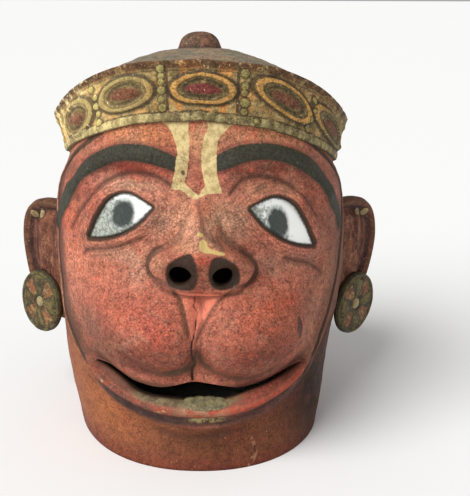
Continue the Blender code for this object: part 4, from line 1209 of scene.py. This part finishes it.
def makeDisc(side):
    # height is the sum of four broad petals in a cross (a root of the cosine of twice the turn), small
    # hills between them, a round stud, beads and a bell for the border
    turn = np.linspace(0, 2 * np.pi, disc["spokes"], endpoint=False)
    share = np.concatenate((np.linspace(0.02, 0.9, 46), np.linspace(0.92, 1, 12)))[:, None]
    petals = 1.8 * np.abs(np.cos(2 * turn)) ** 0.6 * ramp(0.14, 0.3, share) * ramp(0.86, 0.74, share)
    small = 1.3 * hill(np.hypot((share - 0.62) / 0.2, np.abs(np.cos(2 * turn)) / 0.4))
    stud = 2.2 * np.sqrt(np.clip(1 - (share / 0.16) ** 2, 0, 1))
    border = 1.2 * ridge((share - 0.93) / 0.05)
    beads = 0.9 * np.clip(np.cos(16 * turn), 0, 1) * ridge((share - 0.83) / 0.04)
    out = disc["face"] + petals + small + stud + border + beads - 1.5 * ramp(0.96, 1.0, share)
    across = disc["across"] + share * disc["radius"] * np.cos(turn)
    up = discMiddle(side) + share * disc["radius"] * np.sin(turn)
    out = out + 0.15 * lumps(earPlace(side, across, up, out), 8, 31)
    front = earPlace(side, across, up, out)
    backShare = np.array((1.0, 1.0, 0.98, 0.6, 0.03))[:, None]
    backOut = np.array((8.3, 6.4, 5.8, 5.8, 5.8))[:, None]
    back = earPlace(side, disc["across"] + backShare * disc["radius"] * np.cos(turn),
                    discMiddle(side) + backShare * disc["radius"] * np.sin(turn), backOut)
    name = "flowerDiscLeft" if side < 0 else "flowerDiscRight"
    piece = makePiece(name, np.concatenate((front, back)), front[0].mean(0), back[-1].mean(0))
    shares = np.concatenate((np.broadcast_to(share, across.shape).ravel(),
                             np.broadcast_to(backShare, (5, len(turn))).ravel(), (0.0, 0.0)))
    turns = np.concatenate((np.tile(turn, len(share) + 5), (0.0, 0.0)))
    writeField(piece.data, "share", shares)
    writeField(piece.data, "petal", np.abs(np.cos(2 * turns)))
    writeField(piece.data, "hollow", hollows(piece.data, 4))
    return piece


def discFinish():
    m = Finish("paintedDisc")
    wobble = m.noise(3.5, 3) - 0.5
    share = m.field("share") + wobble * 0.08
    petal = m.field("petal") + wobble * 0.3
    m.colour = m.mix(m.noise(8, 4, 0.65).between(0.38, 0.62), (56, 48, 25), (106, 94, 50))
    between = petal.between(0.72, 0.56) * share.between(0.26, 0.4) * share.between(0.84, 0.74)
    m.lay(between * (m.noise(7, 3).between(0.36, 0.5) * 0.4 + 0.5),
          m.mix(m.noise(5, 3), (84, 52, 36), (158, 98, 56)))
    m.lay(between * m.noise(4, 3).between(0.55, 0.62) * 0.6, (166, 144, 96))
    gap = abs(petal - 0.68).between(0.15, 0.05) * share.between(0.22, 0.3) * share.between(0.86, 0.78)
    m.lay(gap * 0.85, (46, 42, 28))
    m.lay(share.between(0.2, 0.15), (156, 140, 98))
    m.lay(abs(share - 0.21).between(0.05, 0.02) * 0.8, (50, 42, 28))
    m.lay(abs(share - 0.87).between(0.035, 0.01) * 0.7, (52, 48, 32))
    m.lay(share.between(0.96, 0.99) * 0.85, (58, 52, 36))
    flecks = m.noise(2, 2)
    m.lay(flecks.between(0.67, 0.73) * 0.35, (176, 160, 108))
    m.lay(flecks.between(0.34, 0.28) * 0.6, (40, 34, 24))
    # grime and painted shade in the hollows
    m.lay(m.field("hollow").between(0.04, 0.3) * 0.6, (40, 36, 24))
    m.lay(m.noise(6, 4, 0.7).between(0.54, 0.62) * 0.2, (150, 104, 48))
    m.grain(2.4, 1.4)
    height = m.noise(1.5, 4, 0.7) * 0.6 + m.noise(5, 4, 0.6) * 0.8
    return m.oldPaint(0.45, height, 0.0005, 0.35)


earPaint, discPaint = earFinish(), discFinish()
for side, word in ((-1, "left"), (1, "right")):
    onHead(makeEar(side), earPaint, "head_shell")
    onHead(makeDisc(side), discPaint, "earring_" + word)

# mirror eyes and teeth
glass = {"gap": 0.3, "floor": -3.7, "plate": 2.6,
         # pupils: middle in degrees and up, half width, half height
         "pupils": {-1: (-28.4, 196.3, 8.6, 9.4), 1: (27.6, 191.9, 7.6, 10.5)}}


def makeEye(side):  # a thin plate that follows the pocket, a little crowned
    x, foot, top = eyeOutline(side, glass["gap"], 61)
    name = "eyeGlassLeft" if side < 0 else "eyeGlassRight"
    piece = slab(name, x, foot, top, glass["floor"], glass["floor"] + glass["plate"])
    points = pointsOf(piece.data)
    angle, radius, up = around(points)
    middle, level, wide, tall = glass["pupils"][side]
    du = (np.degrees(angle) - middle) * perDegree
    lean = 0.14 * side * (up - level)
    writeField(piece.data, "pupil", np.hypot((du + lean) / wide, (up - level) / tall))
    writeField(piece.data, "edge", drawn(np.degrees(angle) * perDegree, up, (eyePatch(side),), True))
    writeField(piece.data, "leftward", -du)
    writeField(piece.data, "upward", up - level)
    return piece


def glassFinish():
    m = Finish("tarnishedMirror")
    shake = m.noise(3, 4, 0.7) - 0.5
    pupil = m.field("pupil") + shake * 0.6
    tarnish = m.noise(5, 5, 0.75)
    # the mirror's ground is a near-white painted reflection of the bright room; tarnish spots it, thicker to
    # the left and lower down
    spotted = (tarnish + m.field("leftward") * 0.013 - m.field("upward") * 0.008).between(0.5, 0.6)
    flaked = m.noise(2.2, 4, 0.8)
    stain = m.mix(flaked.between(0.42, 0.58), (84, 92, 80), (170, 176, 160))
    m.colour = m.mix(spotted * 0.85, (246, 247, 243), stain)
    halo = pupil.between(1.5, 0.95) * m.field("leftward").between(-13, -6)
    m.lay(halo * 0.8, m.mix(flaked, (60, 70, 66), (146, 156, 150)))
    m.lay(pupil.between(1.15, 0.85) * 0.95, m.mix(flaked, (24, 31, 30), (66, 74, 70)))
    edge = m.field("edge") + shake * 4.0
    worn = edge.between(2.2, 0.8)
    m.lay(worn * 0.8, (64, 60, 48))
    rough = 0.2 + spotted * 0.3 + worn * 0.3
    metal = 0.15 - worn * 0.1
    return m.done({"Base Color": m.colour, "Roughness": rough, "Metallic": metal,
                   "Normal": m.bump(tarnish, 0.0002)})


eyePaint = glassFinish()
for side, word in ((-1, "left"), (1, "right")):
    onHead(makeEye(side), eyePaint, "eye_" + word)

teeth = {"from": -11.5, "to": 21.5, "foot": 51.6, "top": 59.6, "count": 4, "out": 1.3}


def makeTeeth():
    # a short row of low teeth on the lower lip's inner slope: each ring runs up the front, bulging by the
    # root of a sine, and down again inside the lip; a sine's root scallops the row
    along = np.linspace(0, 1, 121)
    x = teeth["from"] + (teeth["to"] - teeth["from"]) * along
    ends = np.sqrt(np.clip(1 - (2 * along - 1) ** 2, 0, 1))
    scallop = np.abs(np.sin(np.pi * teeth["count"] * along)) ** 0.5
    top = teeth["top"] - 0.7 * (1 - scallop) - 2.5 * (1 - ends) - head["lean"] * x
    foot = teeth["foot"] + 4.0 * (1 - ends) + 0.5 * scallop - head["lean"] * x
    rows = []
    for t in np.linspace(0, 1, 17):  # up the front
        z = foot + (top - foot) * t
        angle = faceAngle(x, z)
        bulge = teeth["out"] * np.sin(np.pi * (0.06 + 0.88 * t)) ** 0.5 * (0.6 + 0.4 * scallop) * ends
        rows.append(place(angle, z, headRadius(angle, z) + bulge - 0.3))
    for t in (0.98, 0.5, 0.0):  # and down the back, inside the lip
        z = foot + (top - foot) * t
        angle = faceAngle(x, z)
        rows.append(place(angle, z, headRadius(angle, z) - 3.0))
    rings = np.array(rows).transpose(1, 0, 2)
    return makePiece("lowerTeeth", rings, rings[0].mean(0), rings[-1].mean(0))


def teethFinish():
    m = Finish("oldTeethPaint")
    m.colour = m.mix(m.noise(5, 4, 0.7).between(0.35, 0.65), (84, 78, 54), (136, 124, 86))
    m.lay(m.noise(2, 3).between(0.6, 0.7) * 0.5, (176, 160, 120))
    return m.done({"Base Color": m.colour, "Roughness": 0.6, "Normal": m.bump(m.noise(2, 4), 0.0003)})


onHead(makeTeeth(), teethFinish(), "head_shell")

# stage, light and camera
stage = {"floorSize": 300.0, "floorTone": (246, 246, 245), "worldLight": 0.42,
         "sunFrom": (-0.9, -0.85, 1.1), "sunSpread": 45, "sunPower": 3.0,
         "lens": 68.94, "sensor": 36, "cameraAt": (-0.001444, -0.741143, 0.350),
         "cameraTurns": ((-2.5, "Z"), (74.5, "X"), (0.2, "Z"))}


def makeFloor():
    half = stage["floorSize"] / 2
    mesh = bpy.data.meshes.new("floor")
    corners = [(-half, -half, 0), (half, -half, 0), (half, half, 0), (-half, half, 0)]
    mesh.from_pydata(corners, [], [(0, 1, 2, 3)])
    floor = bpy.data.objects.new("floor", mesh)
    bpy.context.scene.collection.objects.link(floor)
    m = Finish("paleFloor")
    tone = paint(*stage["floorTone"])
    mesh.materials.append(m.done({"Base Color": tone, "Roughness": 0.9, "Specular IOR Level": 0.1}))


def softSun(name, source, spread, strength):  # an even light from one side, as from a large softbox
    data = bpy.data.lights.new(name, "SUN")
    data.angle = np.radians(spread)
    data.energy = strength
    lamp = bpy.data.objects.new(name, data)
    bpy.context.scene.collection.objects.link(lamp)
    lamp.matrix_world = Vector(source).to_track_quat("Z", "Y").to_matrix().to_4x4()


makeFloor()
world = bpy.data.worlds.new("studio")
bpy.context.scene.world = world
world.use_nodes = True
world.node_tree.nodes["Background"].inputs["Color"].default_value = (1, 1, 1, 1)
world.node_tree.nodes["Background"].inputs["Strength"].default_value = stage["worldLight"]
softSun("key", stage["sunFrom"], stage["sunSpread"], stage["sunPower"])

cameraData = bpy.data.cameras.new("photoCamera")
cameraData.sensor_fit = "HORIZONTAL"
cameraData.sensor_width = stage["sensor"]
cameraData.lens = stage["lens"]
cameraData.clip_start = 0.01
camera = bpy.data.objects.new("photoCamera", cameraData)
bpy.context.scene.collection.objects.link(camera)
spin = [Matrix.Rotation(np.radians(turn), 4, axis) for turn, axis in stage["cameraTurns"]]
camera.matrix_world = Matrix.Translation(stage["cameraAt"]) @ spin[0] @ spin[1] @ spin[2]
bpy.context.scene.camera = camera
bpy.context.scene.view_settings.view_transform = "Standard"
print("stage set")

bpy.context.view_layer.update()
